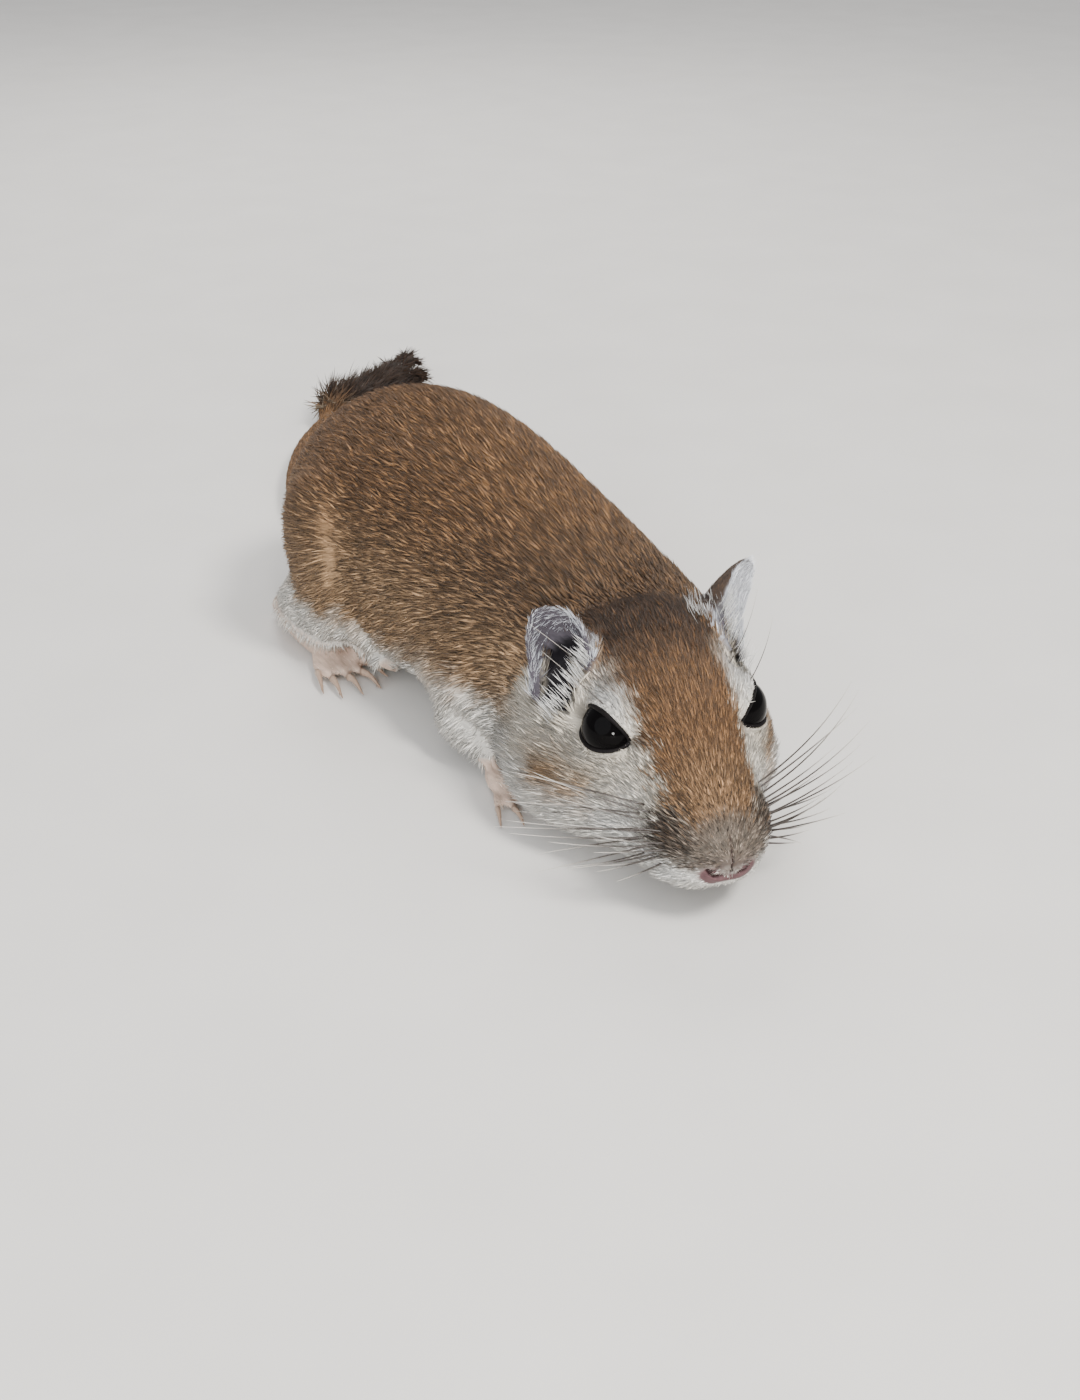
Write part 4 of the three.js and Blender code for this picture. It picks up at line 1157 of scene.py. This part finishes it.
def make_eyes():
    ball, band = eye_material(), lid_material()
    for name, side in SIDES.items():
        centre, outward, forward, upward = eye_axes(side)
        rows, columns = 48, 72
        turns = np.linspace(0, math.pi, rows)
        verts, faces = [], []
        for turn in turns:
            for k in range(columns):
                angle = 2 * math.pi * k / columns
                ring = math.cos(angle) * forward + math.sin(angle) * upward
                verts.append(centre + EYE_RADIUS * (math.cos(turn) * outward + math.sin(turn) * ring))
        for row in range(rows - 1):
            for k in range(columns):
                a, b = row * columns + k, row * columns + (k + 1) % columns
                face = (a, b, b + columns, a + columns) if side > 0 else (b, a, a + columns, b + columns)
                faces.append(face)
        eye = new_object(f"eyeball_{name}", from_head(np.array(verts)), faces)
        clean(eye)
        eye.data.materials.append(ball)
        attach(eye, "root")
        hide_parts(f"eye_{name}")
        # The lid's dark rim, a rounded band round the opening
        section = [(-2.0, -0.3), (-1.6, 0.1), (0.2, 0.26), (3.0, 0.34), (6.0, 0.26), (9.0, 0.02), (6.0, -0.35), (1.0, -0.4)]
        steps = 120
        verts, faces = [], []
        for k in range(steps):
            angle = 2 * math.pi * k / steps
            ring = math.cos(angle) * forward + math.sin(angle) * upward
            edge = float(lid_opening(np.array(angle)))
            for past, out in section:
                turn = math.radians(edge + past)
                verts.append(centre + (EYE_RADIUS + out) * (math.cos(turn) * outward + math.sin(turn) * ring))
        around = len(section)
        for k in range(steps):
            for i in range(around):
                a, b = k * around + i, k * around + (i + 1) % around
                c, d = (b + around) % (steps * around), (a + around) % (steps * around)
                faces.append((a, b, c, d))
        lid = new_object(f"lid_{name}", from_head(np.array(verts)), faces)
        clean(lid)
        lid.data.materials.append(band)
        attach(lid, "root")


def clean(piece):
    """Merges points that lie together and turns every face outwards."""
    work = bmesh.new()
    work.from_mesh(piece.data)
    bmesh.ops.remove_doubles(work, verts=work.verts, dist=0.001 * MM)
    bmesh.ops.recalc_face_normals(work, faces=work.faces)
    work.to_mesh(piece.data)
    work.free()


def toe_point(side, foot, toe, share, height):
    """A place along a toe: its root at 0, its tip at 1 and its claw beyond."""
    turn = math.radians(foot["turn"])
    ahead = np.array([side * math.sin(turn), -math.cos(turn), 0])
    across = np.array([-ahead[1], ahead[0], 0])
    sideways, splay, size = toe
    reach = foot["toe_length"] * size
    run = (reach + foot["toe_length"] * 0.35) * share
    forward = foot["sole"] - foot["toe_length"] * 0.35 + math.cos(math.radians(splay)) * run
    beside = sideways * foot["width"] * 0.42 + math.sin(math.radians(splay)) * run
    heel = np.array([side * foot["heel"][0], foot["heel"][1], 0])
    return heel + ahead * forward + across * beside + np.array([0, 0, height])


def make_claws():
    horn = horn_material("claw", (0.5, 0.36, 0.27), (0.2, 0.13, 0.09), 0.35)
    for name, side in SIDES.items():
        for label, foot in (("hind", HIND_FOOT), ("fore", FORE_FOOT)):
            tubes = []
            for toe in foot["toes"]:
                r = foot["toe_radius"]
                past = foot["claw"] / (foot["toe_length"] * toe[2])
                places, radii = [], []
                for step in np.linspace(0, 1, 8):
                    share = 0.86 + (0.14 + past) * step
                    arch = r * (1.0 + 0.35 * math.sin(math.pi * min(1, step * 1.15)) - 0.6 * step**2)
                    places.append(toe_point(side, foot, toe, share, arch))
                    taper = (1 - step) ** 0.75
                    radii.append((0.06 + 0.42 * r * taper, 0.07 + 0.5 * r * taper))
                tubes.append(tube(places, radii, 10))
            joined_tubes(f"claws_{label}_{name}", tubes, horn)


def make_whiskers():
    draw = np.random.default_rng(SEED + 1)
    hair = horn_material("whisker", (0.03, 0.022, 0.018), (0.62, 0.58, 0.52), 0.4, pale_from=0.45)
    tree = tree_of(skin)
    # Rows on the upper lip: where they root beside, behind and above the nose, and how high they point
    rows = [
        {"level": 4.0, "rise": 0.2, "backs": [4.6, 6.2, 7.8, 9.2], "reach": [11, 16, 20, 21]},
        {"level": 2.6, "rise": 0.06, "backs": [3.6, 5.2, 6.9, 8.6], "reach": [12, 18, 22, 23]},
        {"level": 1.2, "rise": -0.1, "backs": [3.0, 4.6, 6.3, 8.0], "reach": [11, 17, 21, 22]},
        {"level": -0.3, "rise": -0.28, "backs": [3.0, 4.6, 6.2, 7.8], "reach": [9, 14, 17, 18]},
        {"level": -1.8, "rise": -0.5, "backs": [3.4, 5.0, 6.6], "reach": [7, 10, 12]},
    ]
    for name, side in SIDES.items():
        tubes = []
        for row in rows:
            for back, reach in zip(row["backs"], row["reach"]):
                guess = np.array([side * 9.0, back, row["level"]]) + draw.normal(0, 0.2, 3)
                found = tree.find_nearest(Vector(from_head(guess) * MM))
                root = to_head(np.array(found[0]) / MM)
                out = unit(np.array([side * 1.0, 0.02 + 0.04 * back, row["rise"] + draw.normal(0, 0.06)]))
                curl = np.array([-side * 0.06, draw.uniform(0.1, 0.26), draw.uniform(-0.16, 0.0)])
                length = reach * draw.uniform(0.86, 1.08) * (0.8 if side < 0 else 1.0)
                steps = np.linspace(0, 1, 15)
                places = [root - out * 0.3 + length * (out * s + curl * s * s) for s in steps]
                radii = [0.115 * (1 - s) ** 0.8 + 0.016 for s in steps]
                tubes.append(tube(from_head(np.array(places)), radii, 5))
        for back, level, rise, reach in ((19.5, 13.5, 0.8, 9), (22.0, 13.0, 0.7, 11), (19.0, -3.0, -0.4, 8)):
            found = tree.find_nearest(Vector(from_head(np.array([side * 9.0, back, level])) * MM))
            root = to_head(np.array(found[0]) / MM)
            out = unit(np.array([side * 0.8, 0.5, rise]))
            curl = np.array([0, 0.4, -0.2])
            steps = np.linspace(0, 1, 12)
            places = [root - out * 0.3 + reach * (out * s + curl * s * s) for s in steps]
            radii = [0.06 * (1 - s) + 0.014 for s in steps]
            tubes.append(tube(from_head(np.array(places)), radii, 5))
        joined_tubes(f"whiskers_{name}", tubes, hair)


make_eyes()
make_claws()
make_whiskers()

# The stage


def make_stage():
    size = 6.0
    floor = new_object(
        "floor",
        np.array([[-size, -size, 0], [size, -size, 0], [size, size, 0], [-size, size, 0]]) / MM - [0, 0, 0.01],
        [(0, 1, 2, 3)],
        smooth=False,
    )
    material = bpy.data.materials.new("floor")
    tree, principled = nodes_of(material)
    grain = noise(tree, 0.05, 4.0)
    ramp_node = tree.nodes.new("ShaderNodeValToRGB")
    ramp_node.color_ramp.elements[0].color = (0.62, 0.6, 0.57, 1)
    ramp_node.color_ramp.elements[1].color = (0.7, 0.68, 0.65, 1)
    link(tree, grain, ramp_node.inputs["Fac"])
    link(tree, ramp_node.outputs["Color"], principled.inputs["Base Color"])
    principled.inputs["Roughness"].default_value = 0.8
    floor.data.materials.append(material)
    world = bpy.data.worlds.new("studio")
    bpy.context.scene.world = world
    world.use_nodes = True
    world.node_tree.nodes["Background"].inputs["Color"].default_value = (0.93, 0.95, 1.0, 1)
    world.node_tree.nodes["Background"].inputs["Strength"].default_value = 0.5


AIM = np.array([-25.09, -56.73, 25.66])
CAMERA = np.array([-123.43, -192.08, 122.25])
LENS = 43.71


def pointed(thing, place, target):
    thing.location = Vector(np.asarray(place) * MM)
    thing.rotation_euler = (Vector(np.asarray(target) * MM) - thing.location).to_track_quat("-Z", "Y").to_euler()


def area_light(name, place, target, size, power, colour):
    data = bpy.data.lights.new(name, "AREA")
    data.shape = "DISK"
    data.size = size * MM
    data.energy = power
    data.color = colour
    thing = bpy.data.objects.new(name, data)
    bpy.context.scene.collection.objects.link(thing)
    pointed(thing, place, target)


def make_view():
    area_light("key", (60, -330, 440), AIM, 130, 3.2, (1.0, 0.97, 0.93))
    area_light("front", (-240, -430, 85), AIM, 72, 2.0, (1.0, 0.98, 0.95))
    area_light("fill", (-420, -120, 260), (0, 0, 15), 600, 1.6, (0.92, 0.96, 1.0))
    area_light("back", (180, 360, 380), (0, 10, 15), 260, 1.6, (1.0, 0.98, 0.95))
    sun = bpy.data.lights.new("sky", "SUN")
    sun.energy = 1.2
    sun.angle = math.radians(60)
    sky = bpy.data.objects.new("sky", sun)
    bpy.context.scene.collection.objects.link(sky)
    pointed(sky, (0, -200, 900), (0, 0, 0))
    data = bpy.data.cameras.new("camera")
    data.sensor_fit = "VERTICAL"
    data.sensor_height = 36
    data.lens = LENS
    data.clip_start = 0.005
    camera = bpy.data.objects.new("camera", data)
    bpy.context.scene.collection.objects.link(camera)
    pointed(camera, CAMERA, AIM)
    bpy.context.scene.camera = camera


make_stage()
make_view()
